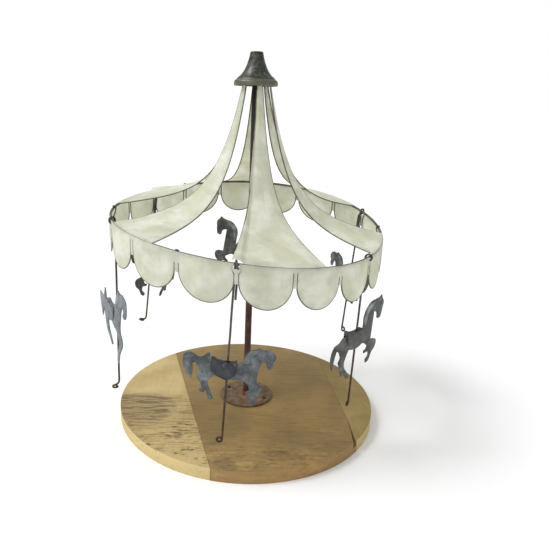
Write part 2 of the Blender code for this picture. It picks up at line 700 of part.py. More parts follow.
def make_saddle_mesh(rod, hole_ahead):
    """A folded strip that straddles the horse and its rod: a block with a slot from below and a hole for the rod."""
    mesh = flat_outline(f"saddle_{rod}", SADDLE_OUTLINE, SADDLE_INNER - SADDLE_OUTER + 2 * SADDLE_TIN)
    block = helper(f"saddle_block_{rod}", mesh)
    bm = bmesh.new()
    bmesh.ops.create_cube(bm, size=1)
    size = Matrix.Diagonal((SLOT_LENGTH, SADDLE_INNER - SADDLE_OUTER, SLOT_DEPTH, 1))
    bmesh.ops.transform(bm, matrix=size, verts=bm.verts)
    slot_mesh = bpy.data.meshes.new(f"saddle_slot_{rod}")
    bm.to_mesh(slot_mesh)
    bm.free()
    slot = helper(slot_mesh.name, slot_mesh)
    slot.location.z = SLOT_TOP - SLOT_DEPTH / 2
    cut = block.modifiers.new("slot", "BOOLEAN")
    cut.object = slot
    cut.operation = "DIFFERENCE"
    hole_place = Vector((hole_ahead, HOOK_BEND - SADDLE_MIDDLE, 0))
    radius = ROD_WIRE + FIT_GAP
    cut_hole(block, f"saddle_rod_hole_{rod}", hole_place, radius, SLOT_DEPTH, 12, SADDLE_HOLE_STRETCH)
    bpy.context.view_layer.update()
    graph = bpy.context.evaluated_depsgraph_get()
    finished = bpy.data.meshes.new_from_object(block.evaluated_get(graph))
    finished.name = f"saddle_{rod}"
    return finished


def make_rod(rod):
    _, length, _, _, eye = RODS[rod]
    outline, drop, nose_up, turn, ahead, scale = HORSES[rod]
    pivot = add_empty(f"pivot_{rod}", rod_frame(rod), CANOPY)
    wire(f"rod_{rod}", rod_path(length, eye), ROD_WIRE, ROD_STEEL, pivot)
    crossing = Matrix.Translation((-HOOK_SIDE, HOOK_BEND, -drop))
    attitude = Matrix.Rotation(math.radians(turn), 4, "Z") @ Matrix.Rotation(math.radians(-nose_up), 4, "Y")
    sheet = -(ROD_WIRE + FIT_GAP + TIN / 2)
    horse_mesh = flat_outline(f"horse_{rod}", HORSE_OUTLINES[outline], TIN)
    grown = Matrix.Diagonal((scale, 1, scale, 1))
    horse_place = Matrix.Translation((ahead, sheet, 0)) @ grown
    add_object(f"horse_{rod}", horse_mesh, HORSE_TIN, pivot, crossing @ attitude @ horse_place)
    saddle_ahead = ahead + SADDLE_AHEAD[outline] * MM
    lean = SADDLE_HOLE_HEIGHT * MM * math.tan(math.radians(nose_up))
    saddle_mesh = make_saddle_mesh(rod, (lean - saddle_ahead) / scale)
    saddle_place = Matrix.Translation((saddle_ahead, SADDLE_MIDDLE - HOOK_BEND, 0)) @ grown
    add_object(f"saddle_{rod}", saddle_mesh, SADDLE_PAINT, pivot, crossing @ attitude @ saddle_place)


BASE = add_empty("base_frame", Matrix.Identity(4))
CANOPY = add_empty("canopy_axis", Matrix.Identity(4))

make_board()
make_post()
make_cap()
make_hoop()
for panel_number in range(PANELS):
    make_panel_wire(panel_number)
make_skirt()
for gore_name in GORES:
    make_gore(gore_name)
for rod_name in RODS:
    make_rod(rod_name)
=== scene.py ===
import math

import bmesh
import bpy
from mathutils import Euler, Matrix, Vector, noise


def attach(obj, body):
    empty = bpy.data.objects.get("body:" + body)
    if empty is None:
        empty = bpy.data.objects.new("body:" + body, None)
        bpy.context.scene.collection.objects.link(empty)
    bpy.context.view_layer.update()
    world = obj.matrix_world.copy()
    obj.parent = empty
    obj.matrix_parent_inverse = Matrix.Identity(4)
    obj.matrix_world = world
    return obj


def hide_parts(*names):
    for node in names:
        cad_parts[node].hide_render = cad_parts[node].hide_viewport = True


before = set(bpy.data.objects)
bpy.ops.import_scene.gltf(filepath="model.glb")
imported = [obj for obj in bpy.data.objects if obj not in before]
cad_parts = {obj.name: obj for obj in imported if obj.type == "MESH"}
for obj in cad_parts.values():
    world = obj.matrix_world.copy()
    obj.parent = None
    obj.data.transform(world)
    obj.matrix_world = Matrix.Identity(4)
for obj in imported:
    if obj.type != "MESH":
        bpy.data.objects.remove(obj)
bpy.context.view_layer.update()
mm = 0.001
fitGap = 0.0003  # between pieces that would touch


# camera, light and floor

view = {
    "place": (-0.00414, -0.61207, 0.35746),
    "turn": -0.001,
    "lookDown": 0.3234,
    "roll": 0.0291,
    "lens": 36.88,
    "shift": (0.0540, 0.0235),
}


def setCamera():
    turn, lookDown, roll = view["turn"], view["lookDown"], view["roll"]
    level = math.cos(lookDown)
    ahead = Vector((math.sin(turn) * level, math.cos(turn) * level, -math.sin(lookDown)))
    side = ahead.cross(Vector((0, 0, 1))).normalized()
    above = side.cross(ahead)
    right = side * math.cos(roll) + above * math.sin(roll)
    up = above * math.cos(roll) - side * math.sin(roll)
    bpy.ops.object.camera_add()
    camera = bpy.context.object
    stand = Matrix((right, up, -ahead)).transposed().to_4x4()
    camera.matrix_world = Matrix.Translation(view["place"]) @ stand
    camera.data.lens = view["lens"]
    camera.data.shift_x, camera.data.shift_y = view["shift"]
    bpy.context.scene.camera = camera


studio = {
    "floorSize": 24,
    "floorColour": "#f6f6f6",
    "skyColour": "#ffffff",
    "skyStrength": 0.66,
    # strength, softness, and where the light comes from
    "sun": (1.95, math.radians(25), (-0.62, -0.05, 0.78)),
    "fill": (0.42, math.radians(70), (-0.6, -0.75, 0.25)),
}


def toLinear(hexColour):
    channels = [int(hexColour[i : i + 2], 16) / 255 for i in (1, 3, 5)]
    return [c / 12.92 if c <= 0.04045 else ((c + 0.055) / 1.055) ** 2.4 for c in channels] + [1.0]


def addNode(tree, kind, settings, result=0):
    # a node with its settings, where an output given as a value is linked, and the result it is used for
    node = tree.nodes.new("ShaderNode" + kind)
    for key, value in settings.items():
        if key == "stops":
            colours = node.color_ramp.elements
            while len(colours) < len(value):
                colours.new(0.5)
            for element, (place, colour) in zip(colours, value):
                element.position = place
                element.color = toLinear(colour)
        elif isinstance(value, bpy.types.NodeSocket):
            tree.links.new(value, node.inputs[key])
        elif isinstance(key, int) or key in node.inputs:
            node.inputs[key].default_value = toLinear(value) if isinstance(value, str) else value
        else:
            setattr(node, key, value)
    return node if result is None else node.outputs[result]


def setStudio():
    world = bpy.data.worlds.new("whiteStudio")
    bpy.context.scene.world = world
    world.use_nodes = True
    tree = world.node_tree
    tree.nodes.clear()
    soft = addNode(tree, "Background", {"Color": studio["skyColour"], "Strength": studio["skyStrength"]})
    seen = addNode(tree, "Background", {"Color": studio["skyColour"], "Strength": 1})
    straight = addNode(tree, "LightPath", {}, "Is Camera Ray")
    mixed = addNode(tree, "MixShader", {0: straight, 1: soft, 2: seen})
    addNode(tree, "OutputWorld", {"Surface": mixed}, None)
    for lamp in ("sun", "fill"):
        strength, softness, towards = studio[lamp]
        bpy.ops.object.light_add(type="SUN")
        light = bpy.context.object
        light.name = lamp
        light.rotation_euler = Vector(towards).to_track_quat("Z", "Y").to_euler()
        light.data.energy = strength
        light.data.angle = softness
    bpy.ops.mesh.primitive_plane_add(size=studio["floorSize"])
    floor = bpy.context.object
    floor.name = "paper_floor"
    paper = bpy.data.materials.new("whitePaper")
    paper.use_nodes = True
    shader = paper.node_tree.nodes["Principled BSDF"]
    shader.inputs["Base Color"].default_value = toLinear(studio["floorColour"])
    shader.inputs["Roughness"].default_value = 1
    shader.inputs["Specular IOR Level"].default_value = 0
    floor.data.materials.append(paper)
    bpy.context.scene.view_settings.view_transform = "Standard"
    print("camera and studio done")


# small tools

def onlySelect(piece):
    bpy.ops.object.select_all(action="DESELECT")
    piece.select_set(True)
    bpy.context.view_layer.objects.active = piece


def startEdit(piece):
    onlySelect(piece)
    bpy.ops.object.mode_set(mode="EDIT")
    bpy.ops.mesh.select_all(action="SELECT")


def endEdit():
    bpy.ops.object.mode_set(mode="OBJECT")


def pick(piece, kind, test):
    # in edit mode, selects the faces or edges that pass the test
    bpy.ops.mesh.select_all(action="DESELECT")
    bpy.ops.mesh.select_mode(type="FACE" if kind == "faces" else "EDGE")
    shape = bmesh.from_edit_mesh(piece.data)
    for part in getattr(shape, kind):
        if test(part):
            part.select_set(True)
    bmesh.update_edit_mesh(piece.data)


def useModifier(piece, kind, **settings):
    onlySelect(piece)
    modifier = piece.modifiers.new(kind.lower(), kind)
    for key, value in settings.items():
        setattr(modifier, key, value)
    bpy.ops.object.modifier_apply(modifier=modifier.name)


def cutAway(piece, cutter):
    useModifier(piece, "BOOLEAN", object=cutter, operation="DIFFERENCE")
    bpy.data.objects.remove(cutter)


def joinPieces(first, *others):
    onlySelect(first)
    for other in others:
        other.select_set(True)
    bpy.ops.object.join()
    return first


def bendWire(points, radius, closed=False, around=4):
    bpy.ops.curve.primitive_bezier_curve_add()
    piece = bpy.context.object
    curve = piece.data
    curve.splines.clear()
    curve.dimensions = "3D"
    line = curve.splines.new("POLY")
    line.points.add(len(points) - 1)
    for place, point in zip(line.points, points):
        place.co = (*point, 1)
    line.use_cyclic_u = closed
    curve.bevel_depth = radius
    curve.bevel_resolution = around
    curve.use_fill_caps = not closed
    onlySelect(piece)
    bpy.ops.object.convert(target="MESH")
    startEdit(piece)
    bpy.ops.mesh.remove_doubles(threshold=0.000001)
    bpy.ops.mesh.normals_make_consistent(inside=False)
    endEdit()
    return piece


snipAngle = math.radians(52)


def cutSheet(outline, thickness, edge):
    # a flat sheet in the XZ plane from an outline in mm, with a rounded edge
    bpy.ops.curve.primitive_bezier_curve_add()
    piece = bpy.context.object
    curve = piece.data
    curve.splines.clear()
    curve.dimensions = "2D"
    curve.fill_mode = "BOTH"
    line = curve.splines.new("BEZIER")
    line.bezier_points.add(len(outline) - 1)
    corners = [Vector(corner) for corner in outline]
    for i, (place, here) in enumerate(zip(line.bezier_points, corners)):
        place.co = (here.x * mm, here.y * mm, 0)
        before = here - corners[i - 1]
        after = corners[(i + 1) % len(corners)] - here
        # snips turn sharply at ears and hooves, and run smoothly elsewhere
        sharp = before.angle(after) > snipAngle
        place.handle_left_type = place.handle_right_type = "VECTOR" if sharp else "AUTO"
    line.use_cyclic_u = True
    curve.resolution_u = 4
    curve.extrude = thickness / 2 - edge
    curve.bevel_depth = edge
    curve.bevel_resolution = 2
    curve.offset = -edge
    piece.rotation_euler = (math.pi / 2, 0, 0)
    onlySelect(piece)
    bpy.ops.object.convert(target="MESH")
    bpy.ops.object.transform_apply(location=True, rotation=True, scale=True)
    startEdit(piece)
    bpy.ops.mesh.remove_doubles(threshold=0.000005)
    bpy.ops.mesh.normals_make_consistent(inside=False)
    endEdit()
    return piece


def finishPiece(piece, name, finish, body, slot, *nodes):
    onlySelect(piece)
    bpy.ops.object.transform_apply(location=True, rotation=True, scale=True)
    piece.name = piece.data.name = name
    if finish:
        piece.data.materials.clear()
        piece.data.materials.append(finish)
    bpy.ops.object.shade_smooth_by_angle(angle=math.radians(35))
    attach(piece, body)
    if nodes:
        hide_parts(*nodes)
    return piece


# finishes

def newFinish(name, roughness, metallic=0.0):
    finish = bpy.data.materials.new(name)
    finish.use_nodes = True
    shader = finish.node_tree.nodes["Principled BSDF"]
    shader.inputs["Roughness"].default_value = roughness
    shader.inputs["Metallic"].default_value = metallic
    return finish, finish.node_tree


def patternPlace(tree, size, stretch):
    # where on the piece, counted in steps of the size in metres, and stretched on each axis
    place = addNode(tree, "TexCoord", {}, "Object")
    return addNode(tree, "Mapping", {"Vector": place, "Scale": [share / size for share in stretch]})


def mottle(tree, size, stops, detail=4.0, stretch=(1, 1, 1)):
    # blotches of about the size in metres, coloured by the stops
    settings = {"Vector": patternPlace(tree, size, stretch), "Scale": 1, "Detail": detail, "Roughness": 0.6}
    spots = addNode(tree, "TexNoise", settings, "Fac")
    return addNode(tree, "ValToRGB", {"Fac": spots, "stops": stops})


def flecks(tree, size, detail, rough, low, high, stretch=(1, 1, 1)):
    # marks of about the size in metres: 0 where their noise is under low, 1 where it is over high
    settings = {"Vector": patternPlace(tree, size, stretch), "Scale": 1, "Detail": detail, "Roughness": rough}
    spots = addNode(tree, "TexNoise", settings, "Fac")
    return addNode(tree, "MapRange", {"Value": spots, "From Min": low, "From Max": high})


def fade(tree, axis, low, high, ragged=None):
    # 0 at low metres along the axis and 1 at high, with the place pushed by a ragged share if given
    metres = addNode(tree, "SeparateXYZ", {0: addNode(tree, "TexCoord", {}, "Object")}, axis)
    if ragged:
        metres = addNode(tree, "Math", {"operation": "ADD", 0: metres, 1: ragged})
    return addNode(tree, "MapRange", {"Value": metres, "From Min": low, "From Max": high})


def layOver(tree, under, colour, share, *masks):
    # the colour laid over what is under it, by the share, where every mask is 1
    for mask in masks:
        share = addNode(tree, "Math", {"operation": "MULTIPLY", 0: share, 1: mask})
    return addNode(tree, "Mix", {"data_type": "RGBA", 0: share, 6: under, 7: colour}, 2)


def colourAndGrain(finish, colour, grainSize, depth, stretch=(1, 1, 1)):
    # gives the finish its colour, and a fine relief of the grain size and depth in metres
    tree = finish.node_tree
    shader = tree.nodes["Principled BSDF"]
    tree.links.new(colour, shader.inputs["Base Color"])
    place = patternPlace(tree, grainSize, stretch)
    grain = addNode(tree, "TexNoise", {"Vector": place, "Scale": 1, "Detail": 3}, "Fac")
    relief = addNode(tree, "Bump", {"Height": grain, "Distance": depth, "Strength": 1})
    tree.links.new(relief, shader.inputs["Normal"])
    return finish


def palePine(name, dark, middle, light, sawn):
    # sawn pine, unvarnished: matt, straw coloured, with a fine grain along Y and a paler rim
    finish, tree = newFinish(name, 0.78)
    blotches = mottle(tree, 0.045, [(0.3, dark), (0.5, middle), (0.7, light)])
    grain = mottle(tree, 0.0022, [(0.35, dark), (0.6, middle)], 3, (1, 0.05, 1))
    wood = layOver(tree, blotches, grain, 0.35)
    if sawn:
        # the saw left ragged dark bands across the grain, heaviest at the left
        push = addNode(tree, "Math", {
            "operation": "MULTIPLY", 0: flecks(tree, 0.022, 3, 0.6, 0.36, 0.60), 1: -0.03,
        })
        sawnPart = [
            fade(tree, "Y", -0.084, -0.058), fade(tree, "Y", -0.002, -0.012),
            fade(tree, "X", -0.092, -0.118, push),
        ]
        bands = flecks(tree, 0.0027, 4, 0.7, 0.46, 0.53, (0.09, 1, 1))
        wood = layOver(tree, wood, "#8d7a55", 0.55, *sawnPart)
        wood = layOver(tree, wood, "#5d4e37", 0.85, bands, *sawnPart)
        # finer lines over the whole plank, and torn flecks in front
        lines = flecks(tree, 0.0024, 3, 0.6, 0.53, 0.60, (0.06, 1, 1))
        lined = [fade(tree, "Y", 0.004, -0.014), fade(tree, "Y", -0.130, -0.110)]
        wood = layOver(tree, wood, "#7a653d", 0.6, lines, *lined)
        torn = flecks(tree, 0.0040, 5, 0.74, 0.52, 0.60, (0.35, 1, 1))
        patchy = flecks(tree, 0.020, 2, 0.5, 0.40, 0.52)
        wood = layOver(tree, wood, "#574527", 0.9, torn, patchy, fade(tree, "Y", -0.040, -0.070))
    wood = layOver(tree, wood, "#d9c48b", 0.6, fade(tree, "Z", 0.0146, 0.0140))
    return colourAndGrain(finish, wood, 0.0012, 0.00012, (1, 0.08, 1))


def sandedPine():
    # older sanded pine: matt and brown, with golden clouds that are partly its own blotchy tone and partly a
    # painted sheen, faint streaks across it and a worn, torn front
    finish, tree = newFinish("sandedBrownPine", 0.72)
    # the golden clouds are partly the wood's blotchy tone and partly a painted sheen
    cloudsAndSheen = mottle(tree, 0.055, [(0.32, "#75613b"), (0.5, "#846d43"), (0.68, "#9b7d4a")])
    streaks = mottle(tree, 0.0030, [(0.36, "#6f5b35"), (0.56, "#987d4a")], 4, (0.07, 1, 1))
    wood = layOver(tree, cloudsAndSheen, streaks, 0.28)
    torn = flecks(tree, 0.0060, 5, 0.75, 0.53, 0.62, (0.35, 1, 1))
    wood = layOver(tree, wood, "#5f4a29", 0.65, torn, fade(tree, "Y", -0.078, -0.118))
    worn = flecks(tree, 0.010, 5, 0.7, 0.50, 0.64, (0.5, 1, 1))
    wood = layOver(tree, wood, "#b8945a", 0.5, worn, fade(tree, "Y", -0.090, -0.125))
    dashes = flecks(tree, 0.0034, 3, 0.6, 0.60, 0.66, (0.16, 1, 1))
    wood = layOver(tree, wood, "#634f2c", 0.45, dashes, fade(tree, "Y", -0.030, -0.070))
    wood = layOver(tree, wood, "#b08a55", 0.4, fade(tree, "Z", 0.0146, 0.0140))
    return colourAndGrain(finish, wood, 0.0012, 0.00010, (0.08, 1, 1))


def rustedSteel(name, dark, middle, light, shadeAbove=None):
    # mild steel left to rust: a matt oxide skin, brown with pinkish patches, that hides nearly all the metal
    finish, tree = newFinish(name, 0.72, 0.25)
    rust = mottle(tree, 0.009, [(0.32, dark), (0.5, middle), (0.68, light)], 6)
    # above the given heights the rust is painted near black, a painted shade where the post stands inside the
    # canopy
    if shadeAbove:
        rust = layOver(tree, rust, "#1f1a18", fade(tree, "Z", *shadeAbove))
    return colourAndGrain(finish, rust, 0.0009, 0.00015)


def pewterSheet():
    # spun pewter-grey sheet, aged: satin, dark and mottled, paler where the lip is rubbed
    finish, tree = newFinish("agedPewterSheet", 0.42, 0.6)
    patina = mottle(tree, 0.0045, [(0.3, "#262824"), (0.5, "#3c3f39"), (0.74, "#6a6f68")], 6)
    patina = layOver(tree, patina, "#727260", 0.55, fade(tree, "Z", 0.3775, 0.3765))
    return colourAndGrain(finish, patina, 0.0018, 0.00012)


def turnedBrass():
    # turned brass gone dull: yellow brown metal with rings too fine to see
    finish, tree = newFinish("dullTurnedBrass", 0.4, 1.0)
    tone = mottle(tree, 0.004, [(0.35, "#7f6a3e"), (0.65, "#a9905a")])
    return colourAndGrain(finish, tone, 0.0006, 0.00004, (0.1, 0.1, 1))


def annealedWire():
    # black annealed iron wire: a dark grey-brown scale, half matt, with olive patches of old glue
    finish, tree = newFinish("annealedIronWire", 0.5, 0.5)
    scale = mottle(tree, 0.008, [(0.35, "#4b4a3d"), (0.55, "#636252"), (0.7, "#838168")])
    return colourAndGrain(finish, scale, 0.0007, 0.00005)


def rodWire():
    # steel wire: half bright and grey above, rusting to a dull brown towards its lower end
    finish, tree = newFinish("rustingSteelWire", 0.5, 0.6)
    grey = mottle(tree, 0.006, [(0.35, "#35322f"), (0.6, "#5b5753")])
    brown = mottle(tree, 0.005, [(0.35, "#2e2118"), (0.6, "#513a26")])
    tone = layOver(tree, grey, brown, fade(tree, "Z", 0.150, 0.080))
    return colourAndGrain(finish, tone, 0.0007, 0.00005)


def agedTin(name, dark, middle, light):
    # tinned sheet gone grey: a dull, cloudy metal, paler where it is rubbed and darker where it is tarnished
    finish, tree = newFinish(name, 0.44, 0.45)
    tone = mottle(tree, 0.012, [(0.3, dark), (0.5, middle), (0.72, light)], 6)
    tone = layOver(tree, tone, "#9aa2a6", 0.30, flecks(tree, 0.0050, 2, 0.5, 0.62, 0.74))
    tone = layOver(tree, tone, dark, 0.6, flecks(tree, 0.007, 4, 0.6, 0.56, 0.64))
    return colourAndGrain(finish, tone, 0.0016, 0.00016)


def stiffMuslin():
    # cotton muslin stiffened with size: matt, cream, with pale stains; its thin weave lets light through
    finish, tree = newFinish("sizedCreamMuslin", 0.88)
    shader = tree.nodes["Principled BSDF"]
    cloth = mottle(tree, 0.026, [(0.32, "#dfe0ce"), (0.5, "#e9eadd"), (0.62, "#f3f4eb")], 5)
    cloth = layOver(tree, cloth, "#d3d5c7", 0.40, flecks(tree, 0.014, 3, 0.55, 0.54, 0.66))
    cloth = layOver(tree, cloth, "#e4e4c9", 0.32, flecks(tree, 0.034, 4, 0.6, 0.55, 0.60, (1, 1, 0.5)))
    tree.links.new(cloth, shader.inputs["Base Color"])
    # real threads are 0.4 mm apart, too fine to show, so the weave is drawn as slubs 3.8 mm apart
    slubPitch = 0.00377
    turns = 2 * math.pi / 20 / slubPitch  # a wave texture of scale 1 turns 20 radians in a metre
    flat = addNode(tree, "TexCoord", {}, "UV")
    warp = addNode(tree, "TexWave", {"bands_direction": "X", "Vector": flat, "Scale": turns}, "Fac")
    weft = addNode(tree, "TexWave", {"bands_direction": "Y", "Vector": flat, "Scale": turns}, "Fac")
    weave = addNode(tree, "Math", {"operation": "ADD", 0: warp, 1: weft})
    relief = addNode(tree, "Bump", {"Height": weave, "Distance": 0.00008, "Strength": 0.5})
    tree.links.new(relief, shader.inputs["Normal"])
    through = addNode(tree, "BsdfTranslucent", {"Color": cloth, "Normal": relief})
    mixed = addNode(tree, "MixShader", {0: 0.52, 1: shader.outputs[0], 2: through})
    tree.links.new(mixed, tree.nodes["Material Output"].inputs["Surface"])
    return finish


# board, foot plate and post

board = {"radius": 0.150, "thickness": 0.015, "around": 256, "rimEdge": 0.0003, "seamGap": 0.0003}
# each seam crosses the X axis at the first number and is turned by the second
seams = {"left": (-0.0713, math.radians(-14.4)), "right": (0.1110, math.radians(-5.5))}
chip = {"start": -0.040, "end": -0.110, "width": 0.0072, "depth": 0.0075, "over": 0.0004, "halfway": 0.35}
crack = {"from": (0.1385, -0.010), "to": (0.1480, -0.036), "width": 0.0006, "depth": 0.003, "kink": 1.3}
clearance = 0.003  # how far a cutter reaches past what it cuts


def seamX(side, y):
    x, skew = seams[side]
    return x + y * math.tan(skew)


def makePlank(name, finish, slot, leftSeam, rightSeam):
    bpy.ops.mesh.primitive_cylinder_add(
        vertices=board["around"],
        radius=board["radius"],
        depth=board["thickness"],
        location=(0, 0, board["thickness"] / 2),
    )
    piece = bpy.context.object
    bpy.ops.object.transform_apply(location=True, rotation=True, scale=True)
    startEdit(piece)
    for seam, side in ((leftSeam, -1), (rightSeam, 1)):
        if seam:
            x, skew = seams[seam]
            across = Vector((math.cos(skew), -math.sin(skew), 0))
            bpy.ops.mesh.select_all(action="SELECT")
            bpy.ops.mesh.bisect(
                plane_co=Vector((x, 0, 0)) - across * (side * board["seamGap"] / 2),
                plane_no=across * side,
                use_fill=True,
                clear_outer=True,
            )
    pick(piece, "edges", lambda edge: edge.is_manifold and edge.calc_face_angle(0) > 1)
    bpy.ops.mesh.bevel(offset=board["rimEdge"], segments=2)
    endEdit()
    return finishPiece(piece, f"{name}_wood", finish, "base", slot, name)


def makeWedge(corners, depth):
    # an upright prism over the corners, that reaches down from above the board
    bpy.ops.mesh.primitive_circle_add(vertices=len(corners), radius=0.01, fill_type="NGON")
    wedge = bpy.context.object
    for vertex, (x, y) in zip(wedge.data.vertices, corners):
        vertex.co = (x, y, board["thickness"] - depth)
    startEdit(wedge)
    bpy.ops.mesh.extrude_region_move(TRANSFORM_OT_translate={"value": (0, 0, depth + clearance)})
    bpy.ops.mesh.select_all(action="SELECT")
    bpy.ops.mesh.normals_make_consistent(inside=False)
    endEdit()
    return wedge


def makeBoard():
    leftPine = palePine("sawnPalePine", "#a58f5f", "#b8a270", "#c6b384", True)
    rightPine = palePine("planedDullPine", "#7d693c", "#8f7a4a", "#a38e5c", False)
    makePlank("plank_left", leftPine, "pale_plank", None, "left")
    middle = makePlank("plank_middle", sandedPine(), "brown_plank", "left", "right")
    right = makePlank("plank_right", rightPine, "pale_plank", "right", None)
    start, end = chip["start"], chip["end"]
    halfway = (start + end) / 2
    corners = [
        (seamX("right", halfway) - chip["width"] * chip["halfway"], halfway),
        (seamX("right", end) - chip["width"], end),
        (seamX("right", end) + chip["over"], end),
        (seamX("right", start) + chip["over"], start),
    ]
    cutAway(middle, makeWedge(corners, chip["depth"]))
    (x1, y1), (x2, y2) = crack["from"], crack["to"]
    x, y = (x1 + x2) / 2 - crack["width"] * crack["kink"], (y1 + y2) / 2
    corners = [(x1, y1), (x - crack["width"] / 2, y), (x2, y2), (x + crack["width"] / 2, y)]
    cutAway(right, makeWedge(corners, crack["depth"]))
    print("board done")


foot = {
    "bottom": 0.0153,
    "thickness": 0.0025,
    "radius": 0.031,
    "edge": 0.0005,
    "postHole": 0.0041,
}
plateScrew = {
    "hole": 0.0014,
    "circle": 0.0247,
    "angles": {"left": math.radians(150), "right": math.radians(330)},
    "head": 0.0021,
    "headTop": 0.0013,
    "headEdge": 0.0006,
    "slot": (0.0060, 0.0006, 0.0009),
    "slotTurn": 0.6,
}
post = {"radius": 0.0038, "spigot": 0.0025, "shoulder": 0.3710, "top": 0.3985, "edge": 0.0003}
postShadeHeights = (0.255, 0.335)  # the heights between which the post is painted near black, a painted shade where it stands inside the canopy
weldBead = {
    "ring": 0.0047,
    "bead": 0.0019,
    "rise": 0.0009,
    "lumps": ((900, 0.0004), (350, 0.0007)),  # how often in a metre, and how high
    "spread": 60,
}


def sharpAbove(height):
    # a test for the sharp edges over a height
    return lambda edge: edge.calc_face_angle(0) > 1 and edge.verts[0].co.z > height


def addCylinder(radius, bottom, top, x=0, y=0, around=64):
    bpy.ops.mesh.primitive_cylinder_add(
        vertices=around, radius=radius, depth=top - bottom, location=(x, y, (bottom + top) / 2)
    )
    bpy.ops.object.transform_apply(location=True, rotation=True, scale=True)
    return bpy.context.object


def makeFoot():
    plateTop = foot["bottom"] + foot["thickness"]
    over = plateTop + clearance
    plate = addCylinder(foot["radius"], foot["bottom"], plateTop, around=128)
    startEdit(plate)
    pick(plate, "edges", sharpAbove(0))
    bpy.ops.mesh.bevel(offset=foot["edge"], segments=3)
    endEdit()
    cutAway(plate, addCylinder(foot["postHole"], 0, over))
    plateSteel = rustedSteel("rustedPlateSteel", "#523d2c", "#6e5843", "#866b52")
    screwSteel = rustedSteel("rustedScrewSteel", "#241b17", "#382b24", "#523d30")
    for side, angle in plateScrew["angles"].items():
        x, y = plateScrew["circle"] * math.cos(angle), plateScrew["circle"] * math.sin(angle)
        cutAway(plate, addCylinder(plateScrew["hole"], 0, over, x, y, 32))
        headTop = plateTop + plateScrew["headTop"]
        head = addCylinder(plateScrew["head"], plateTop + fitGap, headTop, x, y, 48)
        startEdit(head)
        pick(head, "edges", sharpAbove(headTop - fitGap))
        bpy.ops.mesh.bevel(offset=plateScrew["headEdge"], segments=4)
        endEdit()
        bpy.ops.mesh.primitive_cube_add(size=1, location=(x, y, headTop))
        slotCut = bpy.context.object
        slotCut.scale = plateScrew["slot"]
        slotCut.rotation_euler = (0, 0, angle + plateScrew["slotTurn"])
        cutAway(head, slotCut)
        finishPiece(head, f"slotted_screw_{side}", screwSteel, "base", "dark_steel", f"plate_screw_{side}")
    finishPiece(plate, "foot_plate_steel", plateSteel, "base", "rusted_plate", "foot_plate")
    print("foot plate done")


def makePost():
    rod = addCylinder(post["radius"], foot["bottom"], post["shoulder"], around=48)
    startEdit(rod)
    pick(rod, "faces", lambda face: face.normal.z > 0.9)
    bpy.ops.mesh.inset(thickness=post["radius"] - post["spigot"])
    rise = post["top"] - post["shoulder"]
    bpy.ops.mesh.extrude_region_move(TRANSFORM_OT_translate={"value": (0, 0, rise)})
    pick(rod, "edges", sharpAbove(post["shoulder"] - 0.001))
    bpy.ops.mesh.bevel(offset=post["edge"], segments=2)
    endEdit()
    # near black above the given heights: painted shade inside the canopy
    postSteel = rustedSteel("rustedPostSteelShaded", "#33201c", "#4b302a", "#614034", postShadeHeights)
    finishPiece(rod, "post_steel", postSteel, "base", "rusted_post", "post")

    plateTop = foot["bottom"] + foot["thickness"]
    bpy.ops.mesh.primitive_torus_add(
        major_radius=weldBead["ring"],
        minor_radius=weldBead["bead"],
        major_segments=72,
        minor_segments=20,
        location=(0, 0, plateTop + weldBead["rise"]),
    )
    weld = bpy.context.object
    bpy.ops.object.transform_apply(location=True, rotation=True, scale=True)
    for vertex in weld.data.vertices:
        lump = sum(noise.noise(vertex.co * often) * high for often, high in weldBead["lumps"])
        vertex.co.z += lump
        vertex.co.x *= 1 + lump * weldBead["spread"]
        vertex.co.y *= 1 + lump * weldBead["spread"]
    startEdit(weld)
    # flat underneath, just over the plate
    bpy.ops.mesh.bisect(
        plane_co=(0, 0, plateTop + 0.0001), plane_no=(0, 0, -1), use_fill=True, clear_outer=True
    )
    endEdit()
    weldSteel = rustedSteel("burntWeldSteel", "#3b1e12", "#6b3320", "#9a6a58")
    finishPiece(weld, "foot_weld", weldSteel, "base", "rusted_post", "post")
    print("post done")


# cap

# radius and height above the lip, in mm, from the lip up to the flat top
capProfile = (
    (21.8, 0.0), (22.5, 0.5), (22.7, 2.6), (22.3, 4.9), (21.4, 5.9), (20.3, 6.3), (19.7, 7.0), (19.3, 7.9),
    (16.3, 9.9), (13.0, 13.8), (10.3, 19.0), (8.3, 24.5), (7.1, 29.3), (6.7, 31.8), (6.2, 32.8), (5.2, 33.0),
)
cap = {"bottom": 0.3700, "wall": 0.0010, "around": 48, "topRings": (0.0025, 0.0015)}


def makeCap():
    bpy.ops.mesh.primitive_circle_add(
        vertices=cap["around"], radius=capProfile[0][0] * mm, location=(0, 0, cap["bottom"])
    )
    piece = bpy.context.object
    bpy.ops.object.transform_apply(location=True, rotation=True, scale=True)
    startEdit(piece)
    for (radius, rise), (nextRadius, nextRise) in zip(capProfile, capProfile[1:]):
        bpy.ops.mesh.extrude_edges_move(TRANSFORM_OT_translate={"value": (0, 0, (nextRise - rise) * mm)})
        grow = nextRadius / radius
        middle = (0, 0, cap["bottom"] + nextRise * mm)
        bpy.ops.transform.resize(value=(grow, grow, 1), center_override=middle)
    bpy.ops.mesh.edge_face_add()
    for width in cap["topRings"]:
        bpy.ops.mesh.inset(thickness=width)
    bpy.ops.mesh.select_all(action="SELECT")
    bpy.ops.mesh.normals_make_consistent(inside=False)
    endEdit()
    useModifier(piece, "SOLIDIFY", thickness=cap["wall"], offset=-1, use_even_offset=True)
    useModifier(piece, "SUBSURF", levels=2, render_levels=2)
    finishPiece(piece, "cap_spun_sheet", pewterSheet(), "canopy", "pewter_cap", "cap")
    brass = turnedBrass()
    for node in ("hub", "thrust_collar"):
        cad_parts[node].data.materials.clear()
        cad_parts[node].data.materials.append(brass)
    print("cap done")


# hoop and the panels that hang from it

